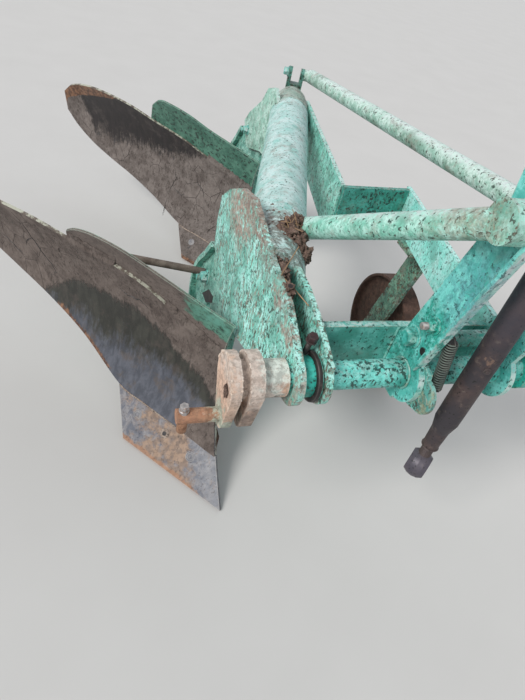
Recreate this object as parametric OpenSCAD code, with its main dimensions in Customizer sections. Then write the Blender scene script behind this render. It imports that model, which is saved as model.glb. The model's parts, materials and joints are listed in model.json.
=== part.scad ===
// Two-furrow mounted moldboard plough, right-handed, as it stands parked on its shares and landsides.
// +Y points to the rear of the plough, -Y to the tractor, +X to the unploughed land, +Z up.
// Layout sizes are measured from the tip of the front share, which touches the ground.

/* [Bodies] */
// Sideways step from the front body to the rear body
body_step_x = 300; // [270:5:340]
// Distance along the travel from one share tip to the next
body_step_y = 925; // [850:5:1000]
// Height over which the moldboard face bends from vertical back to vertical
face_h = 640; // [600:10:700]
// How far the moldboard face falls back at half of that height
face_depth = 190; // [160:5:210]
// Angle between the cutting edge and the line of travel
edge_angle = 41; // [38:1:44]
// Extra angle that the face has gained at its full height
face_twist = 7; // [3:1:9]
// Thickness of the moldboard
board_t = 8; // [6:1:10]
// Thickness of the share
share_t = 10; // [9:1:12]
// Length of the share's cutting edge
share_len = 345; // [320:5:370]
// Thickness of the green cover board on top of the moldboard
cover_t = 6; // [4:1:8]
// Thickness of the body legs
leg_t = 16; // [14:1:20]
// Length of the landside plates
landside_len = 470; // [430:10:520]
// Height of the landside plates
landside_h = 110; // [90:5:130]

/* [Frame] */
// Diameter of the round main beam
beam_d = 136; // [120:2:150]
// Height of the beam's centre line
beam_z = 642; // [620:2:660]
// Length of the beam without its rear cone
beam_len = 850; // [820:5:880]
// Angle of the beam to the line of travel
beam_angle = 19; // [17:1:21]
// Length of the cone that closes the beam at the rear
cone_len = 280; // [250:5:300]
// Thickness of the two cheek plates at the front
cheek_t = 14; // [12:1:16]
// Thickness of the flat bars of the frame
bar_t = 12; // [10:1:14]
// Height of the flat bars of the frame
bar_h = 110; // [100:5:120]
// Height of the brace that runs back to the beam
brace_h = 160; // [140:5:170]
// Height of the upper edge of the flat bars
bar_top = 676; // [665:1:685]

/* [Headstock] */
// Diameter of the cross shaft
shaft_d = 56; // [50:2:60]
// Height of the cross shaft
shaft_z = 588; // [580:2:600]
// Distance between the shoulders of the two lower link pins
pin_shoulders = 825; // [820:5:930]
// Diameter of the lower link pins
pin_d = 28; // [25:1:32]
// Length of the lower link pins
pin_len = 77; // [70:1:90]
// How far the crank webs lower the link pins below the shaft
crank_drop = 80; // [70:1:90]
// Thickness of the two mast plates
mast_t = 12; // [10:1:14]
// Clear width between the two mast plates
mast_gap = 200; // [190:5:215]
// Width of a mast plate along the travel
mast_w = 86; // [78:2:92]
// Forward lean of the mast plates
mast_lean = 14; // [12:0.5:15]
// Height of the top link pin above the ground
top_pin_z = 1118; // [1085:1:1130]
// Diameter of the top link pin
top_pin_d = 25.5; // [22:0.5:28]
// Diameter of the two strut tubes
strut_d = 48; // [42:1:52]

/* [Depth wheel] */
// Radius of the depth wheel
wheel_r = 182; // [175:1:195]
// Width of the wheel's rim
wheel_w = 60; // [45:5:70]
// Diameter of the wheel's axle
axle_d = 30; // [25:1:35]

/* [Top link] */
// Outer diameter of the top link's tube
link_d = 50; // [44:2:56]
// Distance between the two eyes of the top link
link_len = 758; // [740:2:770]

/* [Hidden] */
$fn = 48;
seat = 0.3;
shaft_y = -114;
bodies = [[0, 0], [body_step_x, body_step_y]];

// Beam: where it leaves the right cheek plate, its direction seen from above, and the nose that reaches on
// between the cheek plates
beam_from = [101, 286];
beam_dir = [sin(beam_angle), cos(beam_angle)];
beam_nose = 190;

// Cheek plates
cheek_a = 20;
cheek_b = cheek_a + cheek_t + 40;
// Body legs lie against the left face of the cheek, their feet stand on the landsides
leg_x = cheek_a + cheek_t + seat;
foot_x = 3.7;

// Mast plates
mast_a = 256;
mast_b = mast_a + mast_t + mast_gap;
mast_x = mast_a + mast_t + mast_gap / 2;
mast_foot_z = 522;
mast_foot_y = -77;
top_pin_y = -174;
head_r = 45;
cross_y = -52;
cross_top = 652;

// Lower link pins: where the shoulders of the two cranks stand
shoulder_a = -97;
shoulder_b = shoulder_a + pin_shoulders;
web_t = 18;
web_r = 52;
pin_z = shaft_z - crank_drop;
pin_y = shaft_y - 8;

wheel_at = [664, 498, wheel_r];

// Extents of the whole plough, which set its origin under the middle of its bounding box
tip_s = 945;
tip_z = 405;
x_lo = face(tip_s, tip_z)[0];
x_hi = shoulder_b + pin_len;
y_lo = mast_line(top_pin_z - 2 * head_r) - mast_w / 2;
y_hi = body_step_y + face(tip_s, tip_z)[1] + board_t;
to_origin = [-(x_lo + x_hi) / 2, -(y_lo + y_hi) / 2, 0];

paint = "mediumaquamarine";
rusty = "sienna";
steel = "dimgray";

// Soil face shared by share, moldboard and cover board: straight level lines whose angle grows with the
// height, hung on an upright arc in the plane of the landside. s runs along a line, z is the height.
function line_angle(z) = edge_angle + face_twist * z / face_h;
function fall_back(z) = 4 * face_depth * (z / face_h) * (1 - z / face_h);
function face(s, z) = [-s * sin(line_angle(z)), fall_back(z) + s * cos(line_angle(z)), z];
function unit(v) = v / norm(v);
function face_normal(s, z) = unit(cross([-sin(line_angle(z)), cos(line_angle(z)), 0],
                                        face(s, z + 1) - face(s, z - 1)));
function behind(s, z, t) = face(s, z) + t * face_normal(s, z);

// Smooth interpolation in column c of a table whose column 0 holds s
function span_at(table, s, i = 0) = i >= len(table) - 2 || s < table[i + 1][0] ? i : span_at(table, s, i + 1);
function slope_at(table, i, c) =
    let (lo = max(i - 1, 0), hi = min(i + 1, len(table) - 1))
    (table[hi][c] - table[lo][c]) / (table[hi][0] - table[lo][0]);
function at(table, s, c) =
    let (i = span_at(table, s), h = table[i + 1][0] - table[i][0], u = (s - table[i][0]) / h)
    (2 * u * u * u - 3 * u * u + 1) * table[i][c] + (u * u * u - 2 * u * u + u) * h * slope_at(table, i, c)
    + (3 * u * u - 2 * u * u * u) * table[i + 1][c] + (u * u * u - u * u) * h * slope_at(table, i + 1, c);

// Plate that follows the soil face between depths t0 and t1 behind it; table rows are [s, lower z, upper z]
module face_plate(table, t0, t1, along, across) {
    s0 = table[0][0];
    s1 = table[len(table) - 1][0];
    row = across + 1;
    layer = (along + 1) * row;
    spots = [for (i = [0:along]) let (s = s0 + (s1 - s0) * i / along)
             for (j = [0:across]) let (lo = at(table, s, 1), hi = at(table, s, 2))
             [s, lo + (hi - lo) * j / across]];
    points = concat([for (q = spots) behind(q[0], q[1], t0)], [for (q = spots) behind(q[0], q[1], t1)]);
    quads = concat(
        [for (i = [0:along - 1]) for (j = [0:across - 1])
         let (a = i * row + j) [a, a + row, a + row + 1, a + 1]],
        [for (i = [0:along - 1]) for (j = [0:across - 1])
         let (a = layer + i * row + j) [a, a + 1, a + row + 1, a + row]],
        [for (i = [0:along - 1]) let (a = i * row) [a, a + layer, a + layer + row, a + row]],
        [for (i = [0:along - 1]) let (a = i * row + across) [a, a + row, a + row + layer, a + layer]],
        [for (j = [0:across - 1]) [j, j + 1, j + 1 + layer, j + layer]],
        [for (j = [0:across - 1]) let (a = along * row + j) [a, a + layer, a + layer + 1, a + 1]]);
    tris = [for (q = quads) for (t = [[q[0], q[1], q[2]], [q[0], q[2], q[3]]]) t];
    polyhedron(points, [for (t = tris) [t[2], t[1], t[0]]]);
}

// Outlines of the two moldboards on the soil face, which have worn differently: s, lower z, upper z
board_rows = [
    [[0, 86, 345], [140, 88, 402], [250, 92, 455], [share_len, 99, 478], [480, 170, 490],
     [600, 216, 504], [720, 254, 500], [820, 290, 488], [900, 334, 462], [tip_s, 384, 424]],
    [[0, 86, 350], [140, 88, 384], [250, 92, 414], [share_len, 99, 440], [480, 150, 464],
     [600, 186, 490], [720, 214, 500], [820, 246, 494], [900, 292, 466], [tip_s, 340, 424]]
];
// Outlines of the cover boards behind the moldboards' upper edges: s, lower z, upper z
cover_rows = [
    [[4, 330, 468], [120, 350, 494], [240, 385, 530], [340, 415, 560], [420, 434, 564], [470, 448, 545],
     [500, 456, 516]],
    [[4, 330, 468], [120, 350, 494], [240, 370, 520], [340, 395, 550], [440, 418, 566], [475, 430, 560],
     [498, 440, 530]]
];
// Outline of the share, which ends just below the moldboard: s, lower z, upper z
share_rows = [for (i = [0:8]) let (s = share_len * i / 8) [s, 8, at(board_rows[0], s, 1) - 1.3]];

module place(b) {
    translate(to_origin + [bodies[b][0], bodies[b][1], 0]) children();
}

module share(b) {
    color(steel) place(b) face_plate(share_rows, 0, share_t, 8, 4);
}

module moldboard(b) {
    color("dimgray") place(b) face_plate(board_rows[b], 0, board_t, 24, 10);
}

module cover_board(b) {
    color(paint) place(b) face_plate(cover_rows[b], board_t + seat, board_t + seat + cover_t, 16, 8);
}

// Solid between level outlines given from the bottom up, all with the same number of points; the caps are
// lists of corner numbers that divide an outline into convex pieces
module level_loft(levels, caps) {
    m = len(levels[0]);
    n = len(levels);
    points = [for (level = levels) for (q = level) q];
    sides = [for (i = [0:n - 2]) for (j = [0:m - 1])
             let (a = i * m + j, b = i * m + (j + 1) % m) each [[a, b, b + m], [a, b + m, a + m]]];
    bottom = [for (c = caps) [for (k = [len(c) - 1:-1:0]) c[k]]];
    top = [for (c = caps) [for (k = c) (n - 1) * m + k]];
    polyhedron(points, [for (q = concat(sides, bottom, top)) [for (k = [len(q) - 1:-1:0]) q[k]]]);
}

// Point on the level line at height z, a distance t square behind the soil face
function level_behind(s, z, t) =
    let (n = face_normal(s, z), h = norm([n[0], n[1]])) face(s, z) + t / h / h * [n[0], n[1], 0];

// Cast frog: a pad behind the share and the moldboard, and a web that carries leg and landside
frog_back = 32;
frog_web_x = [foot_x - seat - 24, foot_x - seat];
function frog_level(z) =
    let (t = (z < 100 ? share_t : board_t) + seat, rear = 440 - 0.4 * max(0, z - 200), corner = 76)
    [level_behind(44, z, t), [frog_web_x[1], fall_back(z) + 34, z], [frog_web_x[1], rear, z],
     [frog_web_x[0], rear, z], [frog_web_x[0], level_behind(corner, z, frog_back)[1] + 6, z],
     level_behind(corner + 12, z, frog_back), level_behind(240, z, frog_back), level_behind(240, z, t)];
module frog(b) {
    color(rusty) place(b) level_loft([for (z = [30, 64, 98, 132, 166, 200, 234, 267, 300]) frog_level(z)],
                                     [[0, 1, 2, 3], [0, 3, 4, 5], [0, 5, 6, 7]]);
}

// Leg: web against the cheek, a rim along its round rear edge and a foot on the landside; outlines are [y, z]
rim_outer = [[524, 474], [577, 412], [640, 350], [677, 304], [701, 256], [710, 211], [706, 160], [692, landside_h + seat]];
rim_inner = [[676, landside_h + seat], [690, 162], [694, 210], [686, 250], [663, 295], [628, 340], [565, 402], [514, 462]];
web_outline = [[270, landside_h + seat], [680, landside_h + seat], [694, 162], [698, 210], [689, 252], [666, 298],
               [632, 343], [568, 405], [516, 468], [470, 520], [400, 558], [280, 560], [262, 420], [270, 300]];
rim_x = foot_x + 12;
rim_w = 46;
module leg(b) {
    color(paint) place(b) {
        translate([leg_x, 0, 0]) rotate([90, 0, 90]) linear_extrude(leg_t) difference() {
            polygon(web_outline);
            translate([520, 262]) circle(r = 34);
            translate([495, 375]) circle(d = 21);
        }
        translate([rim_x, 0, 0]) rotate([90, 0, 90]) linear_extrude(rim_w) polygon(concat(rim_outer, rim_inner));
        translate([foot_x, 270, landside_h + seat]) cube([leg_x - foot_x + leg_t, 410, 36]);
    }
}

module landside(b) {
    color(rusty) place(b) translate([foot_x, 130, 0]) cube([bar_t, landside_len, landside_h]);
}

// Stay from the leg to the back of the moldboard's wing
module stay(b) {
    e = [leg_x - seat, 600, 320];
    a = behind(620, 380, board_t + seat);
    color(paint) place(b) {
        rod(behind(620, 380, board_t + 12), e - 4 * unit(e - a), 11);
        rod(a, behind(620, 380, board_t + 14), 22);
    }
}

module rod(a, b, r) {
    d = b - a;
    translate(a) rotate([0, acos(d[2] / norm(d)), atan2(d[1], d[0])]) cylinder(h = norm(d), r = r);
}

module front_share() { share(0); }
module front_moldboard() { moldboard(0); }
module front_cover_board() { cover_board(0); }
module front_frog() { frog(0); }
module front_leg() { leg(0); }
module front_landside() { landside(0); }
module front_stay() { stay(0); }
module rear_share() { share(1); }
module rear_moldboard() { moldboard(1); }
module rear_cover_board() { cover_board(1); }
module rear_frog() { frog(1); }
module rear_leg() { leg(1); }
module rear_landside() { landside(1); }
module rear_stay() { stay(1); }

// Puts a piece whose local +Z is the beam's axis on the beam, distance t from its front end
module on_beam(t) {
    translate(to_origin + [beam_from[0] + t * beam_dir[0], beam_from[1] + t * beam_dir[1], beam_z])
        rotate([-90, 0, -beam_angle]) children();
}

// Half of the cone's lengthwise section, its side larger by grow
function cone_half(grow) =
    [for (q = [[beam_d / 2, 0], [beam_d / 2 - 2, 0.35], [beam_d / 2 - 8, 0.6], [beam_d / 2 - 20, 0.82],
               [beam_d / 2 - 34, 1]]) [q[0] + grow, q[1] * cone_len]];

module beam_space() {
    on_beam(-beam_nose - seat) cylinder(h = beam_len + beam_nose + 2 * seat, d = beam_d + 2 * seat);
    on_beam(beam_len) rotate_extrude()
        polygon(concat([[0, 0]], cone_half(seat), [[beam_d / 2 - 34, cone_len + seat], [0, cone_len + seat]]));
}

module beam_tube() {
    color(paint) difference() {
        on_beam(-beam_nose) cylinder(h = beam_len + beam_nose, d = beam_d);
        on_beam(12) cylinder(h = beam_len, d = beam_d - 2 * 8);
        translate(to_origin + [cheek_a - 386, -400, beam_z - 100]) cube([cheek_t + seat + 386, 1200, 200]);
    }
}

module beam_cone() {
    color(paint) on_beam(beam_len) rotate_extrude()
        polygon(concat([[0, 0]], cone_half(0), [[0, cone_len]]));
}

// Lug with two ears that takes the long strut's rear end
lug_t = beam_len + cone_len - 24;
lug_up = 88;
ear_out = 30;
module beam_lug() {
    color(paint) difference() {
        on_beam(lug_t) difference() {
            union() {
                translate([-ear_out, -lug_up, -20]) cube([2 * ear_out, lug_up - 20, 40]);
                translate([-ear_out, -lug_up, 0]) rotate([0, 90, 0]) cylinder(h = 2 * ear_out, r = 20);
            }
            translate([-ear_out + 14, -lug_up - 30, -30]) cube([2 * ear_out - 28, 64, 60]);
            translate([-ear_out - 10, -lug_up, 0]) rotate([0, 90, 0]) cylinder(h = 2 * ear_out + 20, d = 17);
        }
        beam_space();
    }
}

// Side plate drawn in the plane of travel: outline points are [y, z]
module upright_plate(x, t) {
    translate(to_origin + [x, 0, 0]) rotate([90, 0, 90]) linear_extrude(t) children();
}

module cheek_right() {
    color(paint) upright_plate(cheek_a, cheek_t) difference() {
        union() {
            polygon([[shaft_y - 14, shaft_z - 50], [162, 428], [231, 406], [327, 387], [385, 408], [434, 455],
                     [500, 476], [513, 545], [504, 622], [440, 672], [355, 716], [264, 738], [163, 714],
                     [87, 698], [-24, 686], [shaft_y - 30, shaft_z + 42]]);
            translate([shaft_y, shaft_z]) circle(r = 52);
        }
        translate([shaft_y, shaft_z]) circle(d = shaft_d + 0.1);
    }
}

module cheek_left() {
    color(paint) difference() {
        upright_plate(cheek_b, bar_t) difference() {
            union() {
                polygon([[shaft_y - 14, shaft_z - 50], [150, 534], [150, 690], [20, 684], [-63, 668],
                         [shaft_y - 34, shaft_z + 50]]);
                translate([shaft_y, shaft_z]) circle(r = 52);
            }
            translate([shaft_y, shaft_z]) circle(d = shaft_d + 0.1);
        }
        beam_space();
    }
}

// Flat bar standing on edge between two places seen from above
module flat_bar(a, b, top = bar_top, h = bar_h) {
    d = b - a;
    translate(to_origin + [a[0], a[1], top - h]) rotate([0, 0, atan2(d[1], d[0])])
        translate([0, -bar_t / 2, 0]) cube([norm(d), bar_t, h]);
}

module cross_member() {
    color(paint) translate(to_origin + [cheek_b + bar_t, cross_y, cross_top - bar_h])
        cube([mast_b - cheek_b - bar_t - seat, bar_t + 4, bar_h]);
}

side_from = [mast_b + bar_t / 2, cross_y + 1];
corner_left = [572, 536];
corner_mid = [348, 500];
brace_to = [478, 1200];

module side_bar() {
    color(paint) flat_bar(side_from, corner_left);
}

module rear_bar() {
    color(paint) flat_bar(corner_mid, corner_left + [-11.2, -20]);
}

// Brace with two holes, notched where it meets the beam
module brace_bar() {
    from = corner_mid + [2, 8.3];
    d = brace_to - from;
    color(paint) difference() {
        flat_bar(from, brace_to, h = brace_h);
        translate(to_origin + [from[0], from[1], bar_top]) rotate([0, 0, atan2(d[1], d[0])]) {
            translate([80, 0, -72]) rotate([90, 0, 0]) cylinder(h = 40, d = 34, center = true);
            translate([235, 0, -60]) rotate([90, 0, 0]) cylinder(h = 40, d = 17, center = true);
        }
        beam_space();
    }
}

// Where the mast's centre line is at height z
function mast_line(z) = mast_foot_y - (z - mast_foot_z) * tan(mast_lean);

module mast_outline() {
    flat_z = mast_foot_z + (mast_foot_y + mast_w / 2 - cross_y + seat) / tan(mast_lean);
    neck_z = top_pin_z - 2 * head_r;
    polygon([[mast_foot_y - mast_w / 2, mast_foot_z], [cross_y - seat, mast_foot_z], [cross_y - seat, flat_z],
             [mast_line(neck_z - 60) + mast_w / 2, neck_z - 60], [top_pin_y + head_r, top_pin_z],
             [top_pin_y - head_r, top_pin_z], [mast_line(neck_z) - mast_w / 2, neck_z]]);
}

eye_w = 44;
sleeve_len = (mast_gap - eye_w) / 2 - 2 * seat;

module mast_plate(x) {
    color(paint) upright_plate(x, mast_t) difference() {
        union() {
            mast_outline();
            translate([shaft_y, shaft_z]) circle(r = 58);
            translate([shaft_y, shaft_z - 22]) square([cross_y - seat - shaft_y, 80]);
            translate([top_pin_y, top_pin_z]) circle(r = head_r);
        }
        translate([shaft_y, shaft_z]) circle(d = shaft_d + 0.1);
        translate([top_pin_y, top_pin_z]) circle(d = top_pin_d + 0.1);
        translate([-100, 668]) circle(d = 17);
    }
}

module mast_plate_right() { mast_plate(mast_a); }
module mast_plate_left() { mast_plate(mast_b); }

module mast_spacer() {
    color(paint) translate(to_origin + [mast_a + mast_t + seat, -100, 660]) rotate([0, 90, 0])
        cylinder(h = mast_gap - 2 * seat, d = 34);
}

// Sleeve that keeps the top link in the middle of the pin
module pin_sleeve(x) {
    color(paint) translate(to_origin + [x, top_pin_y, top_pin_z]) rotate([0, 90, 0]) difference() {
        cylinder(h = sleeve_len, r = 20);
        translate([0, 0, -1]) cylinder(h = sleeve_len + 2, d = top_pin_d + 0.1);
    }
}

module pin_sleeve_right() { pin_sleeve(mast_a + mast_t + seat); }
module pin_sleeve_left() { pin_sleeve(mast_b - seat - sleeve_len); }

module top_link_pin() {
    color(rusty) translate(to_origin + [mast_a - 30, top_pin_y, top_pin_z]) rotate([0, 90, 0])
        cylinder(h = mast_gap + 2 * mast_t + 60, d = top_pin_d);
}

strut_z = 958;
strut_y = mast_line(strut_z) - 10;
boss_r = 32;
boss_w = 46;

// Place beside the beam: distance t along it, out to its left and up from its centre line
function by_beam(t, out, up) =
    [beam_from[0] + t * beam_dir[0] + out * beam_dir[1], beam_from[1] + t * beam_dir[1] - out * beam_dir[0],
     beam_z + up];

// Strut with a boss against the mast plate; its far end is cut to the beam
module strut_short() {
    boss_x = mast_a - seat - boss_w;
    color(paint) difference() {
        translate(to_origin) {
            rod([boss_x + boss_w / 2 - 2, strut_y + 12, strut_z - 8], by_beam(30, 0, 0), strut_d / 2);
            translate([boss_x, strut_y, strut_z]) rotate([0, 90, 0]) cylinder(h = boss_w, r = boss_r);
        }
        beam_space();
    }
}

module strut_long() {
    color(paint) {
        translate(to_origin)
            rod([mast_b + mast_t + seat + strut_d / 2 + 0.6, mast_line(890) + 10, 890],
                by_beam(lug_t, ear_out + strut_d / 2 + 4, lug_up), strut_d / 2);
        translate(to_origin + by_beam(lug_t, ear_out + seat, lug_up)) rotate([0, 90, -beam_angle])
            cylinder(h = 30, r = 20);
    }
}

module spring() {
    color(steel) translate(to_origin) {
        rod([284, -161, 712], [306, -161, 590], 12);
        rod([mast_a + mast_t + seat, -161, 724], [286, -161, 724], 3);
        rod([284, -161, 727], [284, -161, 708], 3);
        rod([mast_a + mast_t + seat, -161, 575], [309, -161, 575], 3);
        rod([306, -161, 594], [307, -161, 572], 3);
    }
}

module cross_shaft() {
    color(paint) translate(to_origin + [shoulder_a + 10 + seat, shaft_y, shaft_z]) rotate([0, 90, 0])
        cylinder(h = shoulder_b - shoulder_a - 2 * (10 + seat), d = shaft_d);
}

// Clamp on the shaft between the cheek plates, with a flange at its left end
module clamp_ring() {
    color(paint) translate(to_origin + [cheek_a + cheek_t + 4, shaft_y, shaft_z]) rotate([0, 90, 0])
        difference() {
            union() {
                cylinder(h = 32, r = 38);
                translate([0, 0, 27]) cylinder(h = 5, r = 45);
            }
            translate([0, 0, -1]) cylinder(h = 34, d = shaft_d + 0.1);
        }
}

// Two circles of radius r1 and r2, their centres d apart, and the band between their common tangents
module oval(r1, r2, d) {
    a = acos((r1 - r2) / d);
    circle(r = r1);
    translate([d, 0]) circle(r = r2);
    polygon([r1 * [cos(a), sin(a)], [d, 0] + r2 * [cos(a), sin(a)], [d, 0] + r2 * [cos(a), -sin(a)],
             r1 * [cos(a), -sin(a)]]);
}

// Crank at one end of the shaft: two oval webs, a drum between them and the lower link pin
module crank() {
    swing = atan2(pin_y - shaft_y, crank_drop);
    rotate([0, 90, 0]) {
        difference() {
            union() {
                rotate([0, 0, swing]) {
                    linear_extrude(web_t) oval(web_r, 26, crank_drop);
                    translate([0, 0, 34]) linear_extrude(web_t + 6) oval(web_r, 26, crank_drop);
                }
                cylinder(h = 108, r = 35);
            }
            translate([0, 0, 10]) cylinder(h = 110, d = shaft_d + 0.1);
        }
        translate([crank_drop, pin_y - shaft_y, -pin_len]) cylinder(h = pin_len, d = pin_d);
    }
}

module crank_right() {
    color(rusty) translate(to_origin + [shoulder_a, shaft_y, shaft_z]) crank();
}

module crank_left() {
    color(paint) translate(to_origin + [shoulder_b, shaft_y, shaft_z]) mirror([1, 0, 0]) crank();
}

// Collar on the shaft with an ear for the rod that holds the shaft sideways
collar_x = 528;
module shaft_collar() {
    color(paint) {
        upright_plate(collar_x, 36) difference() {
            translate([shaft_y, shaft_z]) circle(r = 44);
            translate([shaft_y, shaft_z]) circle(d = shaft_d + 0.1);
        }
        upright_plate(collar_x + 12, 12) difference() {
            union() {
                translate([-120, shaft_z + 36]) square([40, 24]);
                translate([-100, shaft_z + 56]) circle(r = 20);
            }
            translate([-100, shaft_z + 56]) circle(d = 12.2);
        }
    }
}

module adjuster_rod() {
    color(rusty) translate(to_origin + [mast_b + mast_t + seat, -100, shaft_z + 56]) rotate([0, 90, 0])
        cylinder(h = 110, r = 6);
}

// Rear cheek: plate that hugs the beam and carries the rear leg; its outline is [y, z]
module rear_bracket() {
    color(paint) difference() {
        upright_plate(body_step_x + cheek_a, cheek_t)
            polygon([[1050, 500], [1163, 486], [1329, 433], [1359, 450], [1422, 506], [1374, 555], [1249, 640],
                     [1200, 700], [1130, 724], [1080, 690]]);
        beam_space();
    }
}

arm_x = 600;
module wheel_arm() {
    color(paint) translate(to_origin) upright_arm();
}

module upright_arm() {
    foot_z = bar_top - bar_h - seat;
    translate([arm_x, 0, 0]) rotate([90, 0, 90]) linear_extrude(bar_t)
        polygon([[wheel_at[1] - 42, wheel_at[2] - 30], [wheel_at[1] - 6, wheel_at[2] - 44],
                 [wheel_at[1] + 34, wheel_at[2] - 16], [430, foot_z], [350, foot_z]]);
    translate([530, 350, foot_z - bar_t]) cube([arm_x - 530 + 1, 80, bar_t]);
}

module wheel_axle() {
    color(steel) translate(to_origin + [arm_x + bar_t + seat, wheel_at[1], wheel_at[2]]) rotate([0, 90, 0])
        cylinder(h = 110, d = axle_d);
}

module depth_wheel() {
    color(rusty) translate(to_origin + [wheel_at[0], wheel_at[1], wheel_at[2]]) rotate([0, 90, 0])
        rotate_extrude($fn = 64)
            polygon([[axle_d / 2 + 0.05, -30], [30, -30], [30, -8], [wheel_r - 8, -8], [wheel_r - 8, -wheel_w / 2],
                     [wheel_r, -wheel_w / 2], [wheel_r, wheel_w / 2], [wheel_r - 8, wheel_w / 2],
                     [wheel_r - 8, 0], [30, 0], [30, 30], [axle_d / 2 + 0.05, 30]]);
}

// Top link: a tube with a forged neck at its lower end, and a screwed ball eye in each end
screw_d = 24;
tube_from = link_len - 62;
tube_to = 75;
eye_turn = -50;
module link_at() {
    translate(to_origin + [mast_x, top_pin_y, top_pin_z]) children();
}

module top_link_tube() {
    color(steel) link_at() rotate_extrude()
        polygon([[screw_d / 2 + 0.05, -tube_from], [17, -tube_from], [19, -tube_from + 55], [link_d / 2, -tube_from + 85],
                 [link_d / 2, -tube_to - 30], [20, -tube_to], [screw_d / 2 + 0.05, -tube_to]]);
}

module ball_eye(bore) {
    rotate([0, 90, 0]) difference() {
        rotate_extrude()
            polygon([[0, -eye_w / 2], [25, -eye_w / 2], [31, -12], [33, 0], [31, 12], [25, eye_w / 2],
                     [0, eye_w / 2]]);
        translate([0, 0, -eye_w]) cylinder(h = 2 * eye_w, d = bore);
    }
}

module top_link_end_upper() {
    color(steel) link_at() difference() {
        union() {
            ball_eye(top_pin_d + 0.1);
            translate([0, 0, -200]) cylinder(h = 185, d = screw_d);
        }
        rotate([0, 90, 0]) cylinder(h = 2 * eye_w, d = top_pin_d + 0.1, center = true);
    }
}

module top_link_end_lower() {
    color(steel) link_at() translate([0, 0, -link_len]) rotate([0, 0, eye_turn]) difference() {
        union() {
            ball_eye(top_pin_d + 0.2);
            translate([0, 0, 15]) cylinder(h = 185, d = screw_d);
        }
        rotate([0, 90, 0]) cylinder(h = 2 * eye_w, d = top_pin_d + 0.2, center = true);
    }
}

beam_tube();
beam_cone();
beam_lug();
cheek_right();
cheek_left();
cross_member();
side_bar();
rear_bar();
brace_bar();
mast_plate_right();
mast_plate_left();
mast_spacer();
top_link_pin();
pin_sleeve_right();
pin_sleeve_left();
strut_short();
strut_long();
spring();
cross_shaft();
clamp_ring();
crank_right();
crank_left();
shaft_collar();
adjuster_rod();
front_share();
front_moldboard();
front_cover_board();
front_frog();
front_leg();
front_landside();
front_stay();
rear_share();
rear_moldboard();
rear_cover_board();
rear_frog();
rear_leg();
rear_landside();
rear_stay();
rear_bracket();
wheel_arm();
wheel_axle();
depth_wheel();
top_link_tube();
top_link_end_upper();
top_link_end_lower();
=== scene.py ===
"""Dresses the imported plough: worn green paint, polished boards, dried mud, rust, bolts and a studio."""
import json
import random
from functools import reduce
from math import cos, pi, radians, sin, sqrt, tan

import bmesh
import bpy
from mathutils import Matrix, Vector, noise


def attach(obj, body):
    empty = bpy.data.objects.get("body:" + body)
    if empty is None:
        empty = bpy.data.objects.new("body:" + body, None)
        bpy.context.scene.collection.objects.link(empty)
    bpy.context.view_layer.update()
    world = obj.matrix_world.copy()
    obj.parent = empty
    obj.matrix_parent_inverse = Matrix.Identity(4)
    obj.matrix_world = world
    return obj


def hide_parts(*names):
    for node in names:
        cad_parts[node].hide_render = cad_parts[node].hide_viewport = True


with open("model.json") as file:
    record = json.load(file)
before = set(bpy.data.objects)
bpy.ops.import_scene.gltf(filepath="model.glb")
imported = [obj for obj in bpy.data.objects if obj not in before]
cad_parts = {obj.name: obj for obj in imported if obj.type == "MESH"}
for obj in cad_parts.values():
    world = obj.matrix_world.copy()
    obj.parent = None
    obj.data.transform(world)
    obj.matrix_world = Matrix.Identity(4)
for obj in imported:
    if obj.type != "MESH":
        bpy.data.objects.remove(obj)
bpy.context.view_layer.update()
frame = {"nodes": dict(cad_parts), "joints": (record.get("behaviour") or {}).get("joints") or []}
nodes = frame["nodes"]
scene = bpy.context.scene

# The layout is in millimetres from the tip of the front share: x to the left, y to the rear, z up.
# The centre of the depth wheel ties it to the frame.
WHEEL_AT = Vector((664, 498, 182))
wheel_joint = next(j for j in frame["joints"] if j["name"] == "wheel_spin")
ORIGIN = Vector(wheel_joint["pos_m"]) - WHEEL_AT / 1000
LEFT, RIGHT, UP, DOWN = (1, 0, 0), (-1, 0, 0), (0, 0, 1), (0, 0, -1)

# Soil face and the plates on it; a row is (place along the face, lower edge, upper edge)
FACE_H, FACE_DEPTH = 640, 190
EDGE_ANGLE, FACE_TWIST = 41, 7
SHARE_RUN, SHARE_LEN, SHARE_T, SHARE_FOOT = 45, 345, 10, 8
SEAM_Z = 88
BOARD_T, BOARD_LEN, COVER_T, SEAT = 8, 945, 6, 0.3
BODIES = {"front": Vector((0, 0, 0)), "rear": Vector((300, 925, 0))}
BOARD_ROWS = {
    "front": [(0, 86, 345), (140, 88, 402), (250, 92, 455), (345, 99, 478), (480, 170, 490),
              (600, 216, 504), (720, 254, 500), (820, 290, 488), (900, 334, 462), (BOARD_LEN, 384, 424)],
    "rear": [(0, 86, 350), (140, 88, 384), (250, 92, 414), (345, 99, 440), (480, 150, 464),
             (600, 186, 490), (720, 214, 500), (820, 246, 494), (900, 292, 466), (BOARD_LEN, 340, 424)],
}
COVER_ROWS = {
    "front": [(4, 330, 468), (120, 350, 494), (240, 385, 530), (340, 415, 560), (420, 434, 564),
              (470, 448, 545), (500, 456, 516)],
    "rear": [(4, 330, 468), (120, 350, 494), (240, 370, 520), (340, 395, 550), (440, 418, 566),
             (475, 430, 560), (498, 440, 530)],
}
SHIN_ROWS = [(2, 82, 166), (34, 83, 150), (70, 85, 130), (108, 87, 106), (124, 90, 94)]

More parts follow.
